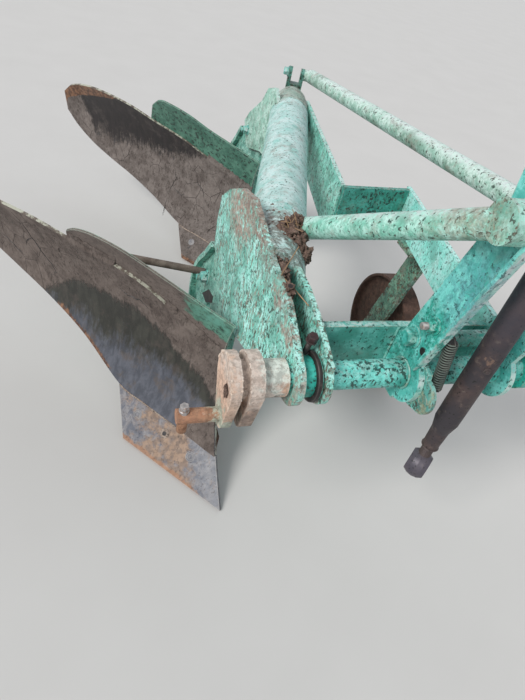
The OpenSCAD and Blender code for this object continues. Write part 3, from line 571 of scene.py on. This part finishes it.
# Shapes
class Shape:
    """Collects points, in millimetres of the layout, and faces; mark is the number of a face's material."""

    def __init__(self):
        self.points, self.faces, self.marks = [], [], []

    def face(self, corners, mark):
        self.faces.append(corners)
        self.marks.append(mark)

    def rings(self, rings, mark=0, caps=True):
        first, n = len(self.points), len(rings[0])
        for ring in rings:
            self.points += ring
        for k in range(len(rings) - 1):
            for j in range(n):
                a, b = first + k * n + j, first + k * n + (j + 1) % n
                self.face((a, b, b + n, a + n), mark)
        if caps:
            self.face(tuple(first + j for j in reversed(range(n))), mark)
            self.face(tuple(first + (len(rings) - 1) * n + j for j in range(n)), mark)

    def lathe(self, at, axis, profile, mark=0, sides=28):
        """profile is a list of (radius, height along the axis)."""
        at, (u, v, w) = Vector(at), basis(axis)
        turns = [2 * pi * j / sides for j in range(sides)]
        self.rings([[at + h * w + r * spoke(u, v, a) for a in turns] for r, h in profile], mark)

    def tube(self, path, radius, mark=0, sides=8):
        """radius is a number, or a function of the position along the path from 0 to 1."""
        path = [Vector(p) for p in path]
        rings = []
        u = None
        for i, p in enumerate(path):
            w = (path[min(i + 1, len(path) - 1)] - path[max(i - 1, 0)]).normalized()
            u = basis(w)[0] if u is None else (u - u.dot(w) * w).normalized()
            v = w.cross(u)
            r = radius(i / (len(path) - 1)) if callable(radius) else radius
            rings.append([p + r * spoke(u, v, 2 * pi * j / sides) for j in range(sides)])
        self.rings(rings, mark)

    def hoop(self, at, axis, r, wire, sides=6, start=0, end=360):
        """Bent wire around an axis, from one angle to another."""
        self.tube(circle_path(at, axis, r, start, end), wire, sides=sides)

    def hexagon(self, at, axis, across, height, mark=0):
        """Bolt head or nut with chamfered corners."""
        r = across / sqrt(3)
        profile = [(r * 0.9, 0), (r, height * 0.12), (r, height * 0.82), (r * 0.86, height)]
        self.lathe(at, axis, profile, mark, sides=6)

    def bolt(self, at, axis, across, stud=0, mark_stud=0):
        """Washer, hexagon and the end of a threaded stud, standing on a face at the given place."""
        w = basis(axis)[2]
        at = Vector(at) + 0.2 * w
        washer = [(across * k, h) for k, h in ((0.72, 0), (0.74, 0.6), (0.74, 2.4), (0.7, 3))]
        self.lathe(at, axis, washer)
        head = across * 0.62
        self.hexagon(at + 3 * w, axis, across, head)
        if stud:
            self.thread(at + (3 + head - 1) * w, axis, across * 0.32, stud, mark_stud)

    def thread(self, at, axis, r, length, mark=0, pitch=2.0):
        turns = max(2, int(length / pitch))
        profile = [(r, 0)]
        for k in range(turns):
            profile += [(r, (k + 0.25) * pitch), (r * 0.88, (k + 0.6) * pitch), (r, (k + 0.95) * pitch)]
        profile.append((r * 0.8, turns * pitch + 1))
        self.lathe(at, axis, profile, mark, sides=18)

    def bead(self, path, radius, seed=1.0):
        """Weld bead: a tube with ripples."""
        fine = refine(path, 4)

        def r(u):
            return radius * (0.85 + 0.25 * noise.noise(Vector((u * len(fine) * 0.5, seed, 0))))
        self.tube(fine, r)

    def lump(self, at, size, rough=0.35, mark=0, level=3, seed=0.0):
        """Rough clod; size is (x, y, z)."""
        work = bmesh.new()
        bmesh.ops.create_icosphere(work, subdivisions=level, radius=1)
        first = len(self.points)
        for vert in work.verts:
            p = vert.co
            swell = 1 + rough * (noise.noise(p * 1.7 + Vector((seed, 0, 0))) + 0.6 * noise.noise(p * 4.1)
                                 + 0.35 * noise.noise(p * 9.0))
            self.points.append(Vector(at) + scaled(p, size) * swell)
        for f in work.faces:
            self.face(tuple(first + v.index for v in f.verts), mark)
        work.free()

    def plate(self, outline, x, t):
        """Upright plate from x to x + t; its outline is (y, z), with slightly broken edges."""
        my, mz = Vector((sum(y for y, z in outline), sum(z for y, z in outline))) / len(outline)

        def ring(px, k):
            return [Vector((px, my + (y - my) * k, mz + (z - mz) * k)) for y, z in outline]
        self.rings([ring(x, 0.985), ring(x + 1, 1), ring(x + t - 1, 1), ring(x + t, 0.985)])


def scaled(p, size):
    return Vector((p.x * size[0], p.y * size[1], p.z * size[2]))


def basis(axis):
    w = Vector(axis).normalized()
    u = w.cross(Vector(UP) if abs(w.z) < 0.9 else Vector(LEFT)).normalized()
    return u, w.cross(u), w


def spoke(u, v, a):
    return cos(a) * u + sin(a) * v


def refine(path, step):
    out = []
    for a, b in zip(path, path[1:]):
        a, b = Vector(a), Vector(b)
        n = max(1, int((b - a).length / step))
        out += [a + (b - a) * i / n for i in range(n)]
    return out + [Vector(path[-1])]


def circle_path(at, axis, r, start=0, end=360, step=6):
    """Arc around an axis; the angles are in degrees."""
    u, v, _ = basis(axis)
    n = max(3, int(abs(end - start) / step))
    return [Vector(at) + r * spoke(u, v, radians(start + (end - start) * i / n)) for i in range(n + 1)]


def add_object(name, data):
    obj = bpy.data.objects.new(name, data)
    scene.collection.objects.link(obj)
    return obj


def add_piece(name, shape, looks, smooth_angle=35, body="frame"):
    mesh = bpy.data.meshes.new(name)
    mesh.from_pydata([mm(*p) for p in shape.points], [], shape.faces)
    obj = add_object(name, mesh)
    for look in looks:
        mesh.materials.append(look)
    mesh.polygons.foreach_set("material_index", shape.marks)
    work = bmesh.new()
    work.from_mesh(mesh)
    bmesh.ops.recalc_face_normals(work, faces=work.faces)
    for f in work.faces:
        f.smooth = True
    for e in work.edges:
        e.smooth = len(e.link_faces) == 2 and e.calc_face_angle(0) < radians(smooth_angle)
    work.to_mesh(mesh)
    work.free()
    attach(obj, body)
    return obj


def set_attributes(obj, **values):
    """A value is a number, or a list of one for each point."""
    for name, value in values.items():
        if not isinstance(value, list):
            value = [value] * len(obj.data.vertices)
        obj.data.attributes.new(name, "FLOAT", "POINT").data.foreach_set("value", value)


def shell(front, back, along, across, rim_mark=0):
    """Closed sheet between two grids of points."""
    shape = Shape()
    shape.points = front + back
    row, layer = across + 1, len(front)
    for i in range(along):
        for j in range(across):
            a = i * row + j
            shape.face((a, a + 1, a + row + 1, a + row), 0)
            shape.face((layer + a, layer + a + row, layer + a + row + 1, layer + a + 1), 0)
    for i in range(along):
        a, b = i * row, i * row + across
        shape.face((a, a + row, a + row + layer, a + layer), rim_mark)
        shape.face((b + row, b, b + layer, b + row + layer), rim_mark)
    for j in range(across):
        a = along * row + j
        shape.face((j + 1, j, j + layer, j + 1 + layer), rim_mark)
        shape.face((a, a + 1, a + 1 + layer, a + layer), rim_mark)
    return shape


def face_sheet(rows, t0, t1, along, across, step, raised=None, place=behind):
    """Plate on the soil face; raised(s, z) lifts its soil side. Faces of its rim have mark 1."""
    s0, s1 = rows[0][0], rows[-1][0]
    spots = []
    for i in range(along + 1):
        s = s0 + (s1 - s0) * i / along
        lo, hi = table_at(rows, s, 1), table_at(rows, s, 2)
        spots += [(s, lo + (hi - lo) * j / across) for j in range(across + 1)]
    front = [place(s, z, t0 - (raised(s, z) if raised else 0)) + step for s, z in spots]
    back = [place(s, z, t1) + step for s, z in spots]
    return shell(front, back, along, across, 1), spots


# Lines of (s, z) on the soil face that bound where the moldboards are muddy, polished, dark and rusty
FRONT_MUD_LINE = [(0, 212), (57, 252), (126, 292), (193, 322), (278, 354), (362, 350), (450, 344),
                  (550, 290), (640, 205)]
FRONT_POLISH_LINE = [(0, 150), (53, 196), (139, 236), (260, 226), (408, 212), (480, 225), (560, 215)]
REAR_DARK_LINE = [(0, 560), (200, 430), (293, 388), (416, 362), (545, 338), (681, 318), (793, 323),
                  (840, 390), (880, 480)]
REAR_RUST_LINE = [(560, 530), (687, 480), (748, 466), (858, 432), (930, 392), (BOARD_LEN, 360)]
NO_WEAR = {"dark": 0.0, "rust": 0.0, "cracked": 0.0}


def board_masks(which, s, z):
    if which == "front":
        low = z - table_at(BOARD_ROWS[which], s, 1)
        mud = smooth(-48, 40, z - line_at(FRONT_MUD_LINE, s))
        dark = smooth(-80, 50, z - line_at(FRONT_POLISH_LINE, s))
        rust = smooth(34, 0, low) * smooth(330, 420, s) * smooth(640, 520, s) * 0.8
        cracked = mud * smooth(380, 560, s)
    else:
        height = z - line_at(REAR_DARK_LINE, s)
        dark = smooth(-150, -10, height) * smooth(960, 830, s)
        mud = 1 - smooth(-85, 75, height) * smooth(945, 780, s)
        rust = smooth(-3, 15, z - line_at(REAR_RUST_LINE, s))
        cracked = mud * smooth(420, 260, z)
    return {"mud": mud, "dark": dark, "rust": rust, "cracked": cracked}


def mud_lift(which):
    """How far the dried mud stands off a moldboard, as a function of the place on it."""
    def raised(s, z):
        mud = board_masks(which, s, z)["mud"]
        seed = 3 if which == "front" else 8
        spots = [Vector((s / size, z / size, seed + k)) for k, size in enumerate((75, 17, 7))]
        broad, small, tiny = (noise.noise(spot) for spot in spots)
        lo, hi = table_at(BOARD_ROWS[which], s, 1), table_at(BOARD_ROWS[which], s, 2)
        rim = smooth(0, 14, min(z - lo, hi - z, s + 2, BOARD_LEN + 2 - s))
        return max(0, 1.8 + 1.7 * broad + 0.8 * small + 0.35 * tiny) * mud * rim
    return raised


def add_board(which, step):
    shape, spots = face_sheet(BOARD_ROWS[which], 0, BOARD_T, 210, 84, step, mud_lift(which))
    board = add_piece(which + "_board_skin", shape, [BOARD[which], RIM], 50)
    masks = [board_masks(which, s, z) for s, z in spots]
    for key in masks[0]:
        at_back = 0.8 if key == "mud" else 0.0
        set_attributes(board, **{key: [m[key] for m in masks] + [at_back] * len(spots)})
    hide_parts(which + "_moldboard")


def add_cover(which, step):
    near_face = BOARD_T + SEAT
    shape, spots = face_sheet(COVER_ROWS[which], near_face, near_face + COVER_T, 90, 26, step)
    cover = add_piece(which + "_cover_skin", shape, [COVER[which]] * 2, 50)
    mud, fresh = [], []
    for s, z in spots:
        top = table_at(COVER_ROWS[which], s, 2) - z
        if which == "front":
            mud.append(min(1.0, 0.25 + smooth(90, 240, s) + smooth(55, 90, top) * 0.7))
            fresh.append(smooth(170, 60, s) * smooth(80, 10, top))
        else:
            mud.append(0.15 + 0.5 * smooth(90, 150, top))
            fresh.append(0.25 * smooth(30, 5, top))
    set_attributes(cover, mud=mud + [0.5] * len(spots), fresh=fresh + [0.2] * len(spots))
    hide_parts(which + "_cover_board")


def board_foot(s):
    """Height of the lower edge of a moldboard."""
    return table_at(BOARD_ROWS["front"], s, 1)


def add_share(which, step):
    rows = [(s, SHARE_FOOT, board_foot(s) - 1.3) for s in (SHARE_LEN * i / 8 for i in range(9))]
    shape, spots = face_sheet(rows, 0, SHARE_T, 110, 30, step, place=on_share)
    share = add_piece(which + "_share_skin", shape, [SHARE_LOOK[which]] * 2, 50)
    set_attributes(share, mud=0.75, tip=[smooth(120, 10, s) for s, z in spots] * 2,
                   rust=[smooth(26, 8, z) * smooth(20, 120, s) for s, z in spots] * 2,
                   brown=[smooth(60, 120, s) * smooth(330, 200, s) for s, z in spots] * 2)
    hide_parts(which + "_share")


def add_share_bolts(which, step):
    """Dirt in the seam above the share, and its three bolts, the middle one with a dark socket."""
    shape = Shape()
    seam = [(s, board_foot(s) - 0.6) for s in range(2, SHARE_LEN, 4)]
    shape.bead([behind(s, z, 0.6) + step for s, z in seam], 3.0, seed=2.0)
    for s, z, socket in ((91, 56, 0), (180, 64, 1), (280, 64, 0)):
        at = on_share(s, z, 0) + step
        up = on_share(s, z + 5, 0) - on_share(s, z - 5, 0)
        n = up.cross(on_share(s + 5, z, 0) - on_share(s - 5, z, 0)).normalized()
        shape.lathe(at - 1.5 * n, n, [(14, 0), (13.4, 2.0 + socket), (7, 2.3 + socket)], 2 - socket)
        if socket:
            shape.lathe(at - 1.5 * n, n, [(6.2, 0), (6.2, 3.6)], 3)
        else:
            shape.lathe(at - 1.5 * n, n, [(7.6, 0), (7.6, 2.6), (7, 2.9)], 2)
    add_piece(which + "_share_bolts", shape, [SEAM, SEAM, SHARE, BLACK], 50)


def add_shin(which, step):
    shape, _ = face_sheet(SHIN_ROWS, -3.4, -0.15, 60, 24, step)
    shin = add_piece(which + "_shin", shape, [BOARD["front"], SEAM], 50)
    set_attributes(shin, mud=0.9, **NO_WEAR)


for which, step in BODIES.items():
    for add in (add_board, add_cover, add_share, add_share_bolts, add_shin):
        add(which, step)


def mud_bridge(which, s0, s1, low, high, seed):
    """Sheet of mud from the face of a moldboard over its top edge to the face of its cover."""
    along, across = int((s1 - s0) / 3), 18
    front, back = [], []
    for i in range(along + 1):
        s = s0 + (s1 - s0) * i / along
        top = table_at(BOARD_ROWS[which], s, 2)
        ends = smooth(0, 22, s - s0) * smooth(0, 22, s1 - s)
        for j in range(across + 1):
            v = j / across
            ragged = 1 + 0.45 * noise.noise(Vector((s / 13, v, seed)))
            z = top - low * ragged * (1 - 2 * v) if v < 0.5 else top + high * ragged * (2 * v - 1)
            depth = -1.0 + (BOARD_T + SEAT - 0.6) * smooth(0.42, 0.72, v)
            swell = 2.6 + 1.6 * noise.noise(Vector((s / 16, z / 16, seed)))
            lift = swell * smooth(0, 0.16, v) * smooth(1, 0.84, v)
            front.append(behind(s, z, depth - lift * ends) + BODIES[which])
            back.append(behind(s, z, depth + 0.9 + 3 * (1 - ends)) + BODIES[which])
    shape = shell(front, back, along, across)
    bridge = add_piece(f"{which}_mud_bridge_{int(s0)}", shape, [BOARD[which]], 70)
    set_attributes(bridge, mud=1.0, **NO_WEAR)


mud_bridge("front", 350, 499, 16, 20, 1.0)
mud_bridge("front", -1, 190, 14, 16, 5.0)
mud_bridge("rear", -1, 215, 12, 12, 9.0)


def crack_path(points, which, wiggle=2.5):
    lift = mud_lift(which)
    out = []
    for (s0, z0), (s1, z1) in zip(points, points[1:]):
        for k in range(6):
            s = s0 + (s1 - s0) * k / 6 + rng.uniform(-wiggle, wiggle)
            z = z0 + (z1 - z0) * k / 6 + rng.uniform(-wiggle, wiggle)
            out.append(behind(s, z, -lift(s, z) + 0.3) + BODIES[which])
    return out


def crack_width(u):
    return 0.5 + 1.3 * sin(pi * min(max(u, 0.02), 0.98))


CRACKS = {
    "front": [[(679, 482), (653, 455), (628, 403), (600, 365), (572, 340), (558, 315), (590, 288)],
              [(768, 355), (735, 336), (701, 318), (673, 304)], [(628, 403), (652, 385), (668, 352)],
              [(330, 400), (300, 385), (262, 392), (225, 372)]],
    "rear": [[(397, 172), (423, 118), (432, 92)], [(360, 300), (352, 262), (372, 225), (397, 172)],
             [(372, 225), (330, 205), (300, 214)], [(250, 290), (214, 262), (205, 226)]],
}
shape = Shape()
for which, cracks in CRACKS.items():
    for points in cracks:
        shape.tube(crack_path(points, which), crack_width, sides=5)
add_piece("mud_cracks", shape, [BLACK])


# Clods of dried soil with straw, on the front end of the beam, the cheek and the crank
def bell(*spreads):
    """Random step with a spread along each axis."""
    return Vector([rng.gauss(0, spread) for spread in spreads])


def clod(shape, at, size, crumbs, seed):
    shape.lump(at, size, 0.6, 0, 5, seed)
    for _ in range(crumbs):
        d = bell(1, 1, 0.7).normalized() * rng.uniform(0.75, 1.15)
        r = rng.uniform(0.05, 0.2) * max(size)
        shape.lump(Vector(at) + scaled(d, size), (r, r, r * 0.8), 0.5, 0, 2, seed + rng.random() * 9)


def straw(shape, at, reach, count):
    for _ in range(count):
        d = Vector((rng.gauss(0, 1), rng.gauss(0, 1), rng.gauss(0.1, 0.5))).normalized()
        bend = bell(1, 1, 1) * reach * 0.18
        length = reach * rng.uniform(0.5, 1.0)
        start = Vector(at) + bell(8, 8, 5)
        path = [start + d * length * u + bend * (u * (1 - u)) * 4 for u in (-0.5, -0.25, 0, 0.25, 0.5)]
        shape.tube(path, rng.uniform(0.5, 1.0), 1, sides=5)


def crumbs_on_beam(shape):
    for k in range(70):
        y = rng.gauss(205, 38)
        t = (y - BEAM_FROM[1]) / cos(BEAM_ANGLE)
        turn = rng.gauss(0.15, 0.5)
        at = by_beam(t, BEAM_R * sin(turn) * 0.97, BEAM_R * cos(turn) * 0.97)
        if at.x > CHEEK_LEFT_FACE:
            r = rng.uniform(1.2, 3.6)
            shape.lump(at, (r * 1.3, r * 1.3, r), 0.5, 0, 2, k)


def crust_on_crank(shape):
    web_r = 50
    for k in range(150):
        a = rng.uniform(0, 2 * pi)
        web_face = rng.choice((-97, -79, -63, -39))
        r = rng.uniform(0.8, 2.6)
        at = (web_face, SHAFT_Y + web_r * cos(a), SHAFT_Z + web_r * abs(sin(a)))
        shape.lump(at, (r, r * 1.4, r * 1.4), 0.5, 3, 1, k)


shape = Shape()
for at, size, crumbs, seed in (
        ((96, 196, 702), (27, 36, 18), 130, 1.0), ((108, 214, 716), (14, 17, 16), 60, 7.0),
        ((110, 152, 676), (18, 22, 20), 26, 4.0), ((50, 118, 692), (22, 20, 10), 26, 2.0),
        ((40, 70, 686), (12, 22, 12), 22, 3.0), ((36, 14, 686), (10, 20, 13), 18, 6.0)):
    clod(shape, at, size, crumbs, seed)
crumbs_on_beam(shape)
straw(shape, (96, 196, 716), 44, 8)
straw(shape, (42, 60, 694), 60, 3)
shape.tube([(28, 62, 692), (44, 20, 690), (62, -30, 684)], 1.2, 1, sides=5)
clod(shape, (-98, -136, 584), (3, 9, 12), 26, 9.0)
crust_on_crank(shape)
for profile, mark in (([(6.5, 0), (7, 2.5), (5.2, 2.6)], 0), ([(5.0, 0), (5.0, 2.8)], 2)):
    shape.lathe((34, 6, 699), (-0.2, -0.3, 1), profile, mark, sides=20)
add_piece("soil_clods", shape, [DIRT, STRAW, BLACK, CRANK], 70)

# Weld beads, the first along the curve where the cheek cuts the beam
SEAM_POINTS = 30
beam_side = (cos(BEAM_ANGLE), -sin(BEAM_ANGLE), 0)
beam_axis = (sin(BEAM_ANGLE), cos(BEAM_ANGLE), 0)
shape = Shape()
seam = []
for k in range(SEAM_POINTS):
    w = 8 + 60 * k / (SEAM_POINTS - 1)
    t = (CHEEK_LEFT_FACE - BEAM_FROM[0] + w * cos(BEAM_ANGLE)) / sin(BEAM_ANGLE)
    seam.append(by_beam(t, -w, sqrt(BEAM_R**2 - w**2)) + Vector((3, 0, 0)))
shape.bead(seam, 5.5, seed=1)
add_piece("beam_weld", shape, [BEAM], 60)


def shaft_ring(x):
    return circle_path((x, SHAFT_Y, SHAFT_Z), LEFT, SHAFT_R + 2)


shape = Shape()
beads = [
    (circle_path((MAST_RIGHT_FACE - 1.5, -195.7, 958), LEFT, 33), 3.6),
    ([(86, -52, 654), (86, -52, 600)], 3.2),
    ([(88, -38, 653), (250, -38, 653)], 0.9),
    ([(MAST_LEFT_FACE + 1, -52, 674), (MAST_LEFT_FACE + 1, -52, 572)], 3.4),
    ([(254, -53.5, 650), (254, -53.5, 560)], 3.2),
    (shaft_ring(CHEEK_LEFT_FACE + 41), 2.4),
    (shaft_ring(88), 3.0),
    (shaft_ring(254), 2.8),
    (circle_path(by_beam(850, 0, 0), beam_axis, BEAM_R - 0.6), 2.2),
]
for seed, (path, radius) in enumerate(beads, 4):
    shape.bead(path, radius, seed=seed)
add_piece("frame_welds", shape, [FRAME], 60)
shape = Shape()
for out in (-EAR_OUT + 7, EAR_OUT - 7):
    shape.bead([by_beam(LUG_T + 22, out, 34), by_beam(LUG_T + 22, out, 62)], 3.2, seed=13 + out)
shape.bead([by_beam(LUG_T - 20.5, -EAR_OUT, 37), by_beam(LUG_T - 20.5, EAR_OUT, 37)], 4, seed=15)
add_piece("lug_welds", shape, [LUG], 60)

# Bolts of the frame: place, axis, width across flats and, for some, the stud's length and look
bolts = [
    ((MAST_RIGHT_FACE, -100, 668), RIGHT, 30), ((MAST_RIGHT_FACE, -135, 723), RIGHT, 22, 13, 1),
    ((MAST_LEFT_FACE, -100, 668), LEFT, 30, 14), ((34.3, 569, 323), RIGHT, 30, 12),
    ((334.3, 1494, 323), RIGHT, 30, 12), ((320, 1351, 493), RIGHT, 26, 8),
    (by_beam(LUG_T, -EAR_OUT, LUG_UP), -Vector(beam_side), 24),
    (by_beam(LUG_T, EAR_OUT + 30.3, LUG_UP), beam_side, 24, 10),
]
for x, y, _ in BODIES.values():
    bolts += [((x + 50.3, y + 495, 375), LEFT, 30, 10), ((x + 50.3, y + 569, 323), LEFT, 28)]
shape = Shape()
for bolt in bolts:
    shape.bolt(*bolt)
add_piece("frame_bolts", shape, [MAST, BOLT], 25)

# Painted shade: a black disc on the right mast plate for the shade in a hole, and a thin black sheet
# against the right face of the front leg for the shade in the gap between the cheek and the leg.
shape = Shape()
shape.lathe((MAST_RIGHT_FACE - 0.6, -137, 664), LEFT, [(8, 0), (8, 0.8)])
shape.plate([(596, 243), (529, 307), (476, 319), (474, 298), (540, 250)], 33.6, 0.5)
add_piece("painted_shade_holes", shape, [BLACK])

# Bolt through each lower link pin
for tag, x in (("right", SHOULDER_RIGHT - PIN_LEN + 13), ("left", SHOULDER_LEFT + PIN_LEN - 13)):
    shape = Shape()
    for up, profile in ((-4, [(9.5, 0), (9.5, 6.5), (8.8, 7.2)]), (3.2, [(7.4, 0), (7.4, 2.6)])):
        shape.lathe((x, PIN_Y, PIN_Z + PIN_R + up), UP, profile, 1, sides=24)
    shape.hexagon((x, PIN_Y, PIN_Z + PIN_R + 5.8), UP, 14.5, 8.5, 1)
    foot = [(9.2, 0), (9.6, 2), (9.6, 30), (8.6, 32), (3, 33)]
    shape.lathe((x, PIN_Y, PIN_Z - PIN_R + 6), DOWN, foot, sides=24)
    add_piece("pin_bolt_" + tag, shape, [PIN_RUST, BOLT], 30)

# Screw that tightens the clamp on the shaft, and the black edge around the clamp's flange
shape = Shape()
foot, head = Vector((54, -82, 612)), Vector((54, -94, 663))
w = (head - foot).normalized()
shape.lathe(foot - 4 * w, w, [(11, 0), (11, 12), (9, 14)], 2, sides=24)
shape.thread(foot + 6 * w, w, 5.6, 30)
shape.lathe(head - 12 * w, w, [(6, 0), (6, 4), (10.5, 4.2), (10.5, 6), (8, 6.4)], 1, sides=24)
shape.hexagon(head - 6 * w, w, 18, 13, 1)
add_piece("clamp_screw", shape, [BLACK, SCREW, CLAMP], 30)
shape = Shape()
flange = [(58.5, 38.4), (58.5, 44), (60, 47.4), (66, 48.4), (67.4, 47), (67.4, 38.6)]
shape.rings([circle_path((x, SHAFT_Y, SHAFT_Z), LEFT, r, 0, 354) for x, r in flange], caps=False)
shape.lump((56, -84, 618), (9, 9, 7), seed=2.0)
shape.lump((57, -76, 606), (6, 8, 8), seed=4.0)
add_piece("clamp_edge", shape, [BLACK], 60)


def add_spring():
    """Coil between the mast plate and the shaft, around a black core that is painted shade seen between the
    turns, with a hook at each end.
    """
    top, end = Vector((284, -161, 708)), Vector((306, -161, 592))
    turns, per_turn = 20, 18
    coil_r, wire_r, shade_core_r, hook_r = 10.8, 1.4, 8.4, 2.2
    u, v, w = basis(end - top)
    length = (end - top).length
    shape = Shape()
    path = [top + w * length * k / (turns * per_turn) + coil_r * spoke(u, v, 2 * pi * k / per_turn)
            for k in range(turns * per_turn + 1)]
    shape.tube(path, wire_r, 1)
    # Black core: painted shade inside the coil.
    shape.tube([top, end], shade_core_r, sides=16)
    for tip, z in ((path[0], 724), (path[-1], 575)):
        anchor = Vector((MAST_INSIDE, top.y, z))
        middle = Vector(((tip.x + anchor.x) / 2, top.y, z))
        shape.tube([tip, Vector((tip.x, top.y, (tip.z + z) / 2)), middle, anchor], hook_r)
    spring = add_piece("coil_spring", shape, [BLACK, WIRE], 60)
    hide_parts("spring")


def add_lever():
    """Plate with a rounded end beside the foot of the right mast plate."""
    lobe_y, lobe_z = -174, 584
    lobe = [(-166, 630), (-136, 640), (-120, 622), (-140, 612), (-145, 590), (-140, 562), (-142, 538),
            (-160, 541)]
    lobe += [(lobe_y - 34 * cos(radians(d)), lobe_z + 36 * sin(radians(d))) for d in range(-70, 110, 10)]
    shape = Shape()
    shape.plate(lobe, MAST_INSIDE + 1, 10)
    shape.hoop((MAST_INSIDE + 1, -184, 582), LEFT, 12, 1.1)
    add_piece("shaft_lever", shape, [LEVER], 30)


def add_mast_edge():
    """Raised strip along the front edge of the right mast plate, which leans forward."""
    foot_y, foot_z, lean = -77, 522, tan(radians(14))
    ahead = 44.3
    section = ((247.5, 0.8), (248.3, 0), (255.9, 0), (255.9, 9), (248.3, 9), (247.5, 8.2))
    shape = Shape()
    shape.rings([[Vector((x, foot_y - (z - foot_z) * lean - ahead + dy, z)) for x, dy in section]
                 for z in range(626, 1077, 30)])
    add_piece("mast_edge_strip", shape, [MAST], 30)


add_spring()
add_lever()
add_mast_edge()

# Linch pins through the ends of the top link pin
shape = Shape()
for x in (MAST_RIGHT_FACE - 20, MAST_LEFT_FACE + 20):
    shape.lathe((x, TOP_PIN[1], TOP_PIN[2] + 24), DOWN, [(4.5, 0), (4.5, 44), (3, 48)], sides=16)
    shape.lathe((x, TOP_PIN[1], TOP_PIN[2] + 30), DOWN, [(5, 0), (8, 2), (8, 10), (5, 12)], sides=16)
    shape.hoop((x, TOP_PIN[1], TOP_PIN[2] + 6), LEFT, 23, 1.8, 8, -60, 240)
add_piece("linch_pins", shape, [BOLT], 40)

# Hub and axle end of the depth wheel
HUB_BOLTS, HUB_BOLT_R, HUB_R, RIM_R = 5, 62, 31, 172
shape = Shape()
shape.lathe(WHEEL_AT + Vector((30, 0, 0)), LEFT, [(15.1, 0), (24, 0.2), (24, 3), (15.1, 3.2)])
add_piece("wheel_washer", shape, [BLACK], body="wheel")
shape = Shape()
for k in range(HUB_BOLTS):
    a = 2 * pi * k / HUB_BOLTS
    at = WHEEL_AT + Vector((0, HUB_BOLT_R * cos(a), HUB_BOLT_R * sin(a)))
    shape.bolt(at + Vector((0.3, 0, 0)), LEFT, 16, 5)
    shape.bolt(at + Vector((-8.3, 0, 0)), RIGHT, 16)
for r, seed in ((HUB_R, 20), (RIM_R, 21)):
    shape.bead(circle_path(WHEEL_AT + Vector((2, 0, 0)), LEFT, r), 2.6, seed=seed)
add_piece("wheel_bolts", shape, [RUST_WHEEL], 25, "wheel")
shape = Shape()
shape.lathe(WHEEL_AT + Vector((48, 0, 22)), DOWN, [(3.5, 0), (3.5, 46)], sides=14)
shape.hoop(WHEEL_AT + Vector((48, 0, 0)), LEFT, 21, 1.8, 8, -70, 250)
add_piece("axle_pin", shape, [BOLT], 40)

# Thread rings, a collar and a grease nipple on the top link
THREADS, PITCH = 7, 3.4
link_x, link_y, link_top = TOP_PIN
shape = Shape()
for start, step in ((link_top - LINK_LEN + 36, PITCH), (link_top - 42, -PITCH)):
    for k in range(THREADS):
        shape.hoop((link_x, link_y, start + step * k), UP, 12.2, 1.3)
shape.hoop((link_x, link_y, link_top - LINK_LEN + 64), UP, 17.6, 1.6)
nipple = [(7, 0), (7, 2.4), (4, 3), (4, 6)]
shape.lathe((link_x - 10, link_y - 22.4, link_top - 450), (-0.4, -0.9, 0), nipple)
add_piece("link_details", shape, [LINK], 40, "link")

# Studio, light and camera
CAMERA_AT = (-325, -720, 1225)
DOWNWARD, SIDEWARD, ROLL = radians(40.4), radians(25.0), radians(15.4)
FOCAL_PX, PHOTO_H = 526, 700
SENSOR = 36.0
FLOOR_REACH = 60


def add_camera():
    look = Vector((sin(SIDEWARD) * cos(DOWNWARD), cos(SIDEWARD) * cos(DOWNWARD), -sin(DOWNWARD)))
    level = Vector((cos(SIDEWARD), -sin(SIDEWARD), 0))
    rise = level.cross(look)
    right = cos(ROLL) * level + sin(ROLL) * rise
    up = cos(ROLL) * rise - sin(ROLL) * level
    data = bpy.data.cameras.new("camera")
    data.sensor_width = SENSOR
    data.lens = FOCAL_PX / PHOTO_H * SENSOR
    data.clip_start = 0.01
    turn = Matrix((right, up, -look)).transposed().to_4x4()
    scene.camera = add_object("camera", data)
    scene.camera.matrix_world = Matrix.Translation(mm(*CAMERA_AT)) @ turn


def add_sun(name, at, strength, spread, color=(1, 1, 1)):
    """Sunlight that falls from a place towards the origin."""
    data = bpy.data.lights.new(name, "SUN")
    data.energy = strength
    data.angle = radians(spread)
    data.color = color
    turn = (-Vector(at)).to_track_quat("-Z", "Y").to_matrix().to_4x4()
    add_object(name, data).matrix_world = Matrix.Translation(at) @ turn


def add_floor():
    m = Shader("floor")
    m.color = m.mix(m.noise(3, 3), (0.6, 0.585, 0.565), (0.65, 0.635, 0.615))
    m.finish(0.9)
    mesh = bpy.data.meshes.new("floor")
    corners = [(x * FLOOR_REACH, y * FLOOR_REACH, 0) for x, y in ((-1, -1), (1, -1), (1, 1), (-1, 1))]
    mesh.from_pydata(corners, [], [(0, 1, 2, 3)])
    mesh.materials.append(m.mat)
    floor = add_object("floor", mesh)


def add_world():
    world = bpy.data.worlds.new("sky")
    world.use_nodes = True
    inputs = world.node_tree.nodes["Background"].inputs
    inputs["Color"].default_value = (0.88, 0.93, 1.0, 1)
    inputs["Strength"].default_value = 0.52
    scene.world = world


add_camera()
add_floor()
add_world()
add_sun("key", (-3.4, -1.6, 3.1), 2.4, 22, (1.0, 0.985, 0.96))
add_sun("back", (1.5, 3.0, 2.5), 0.3, 60)
scene.view_settings.view_transform = "Standard"
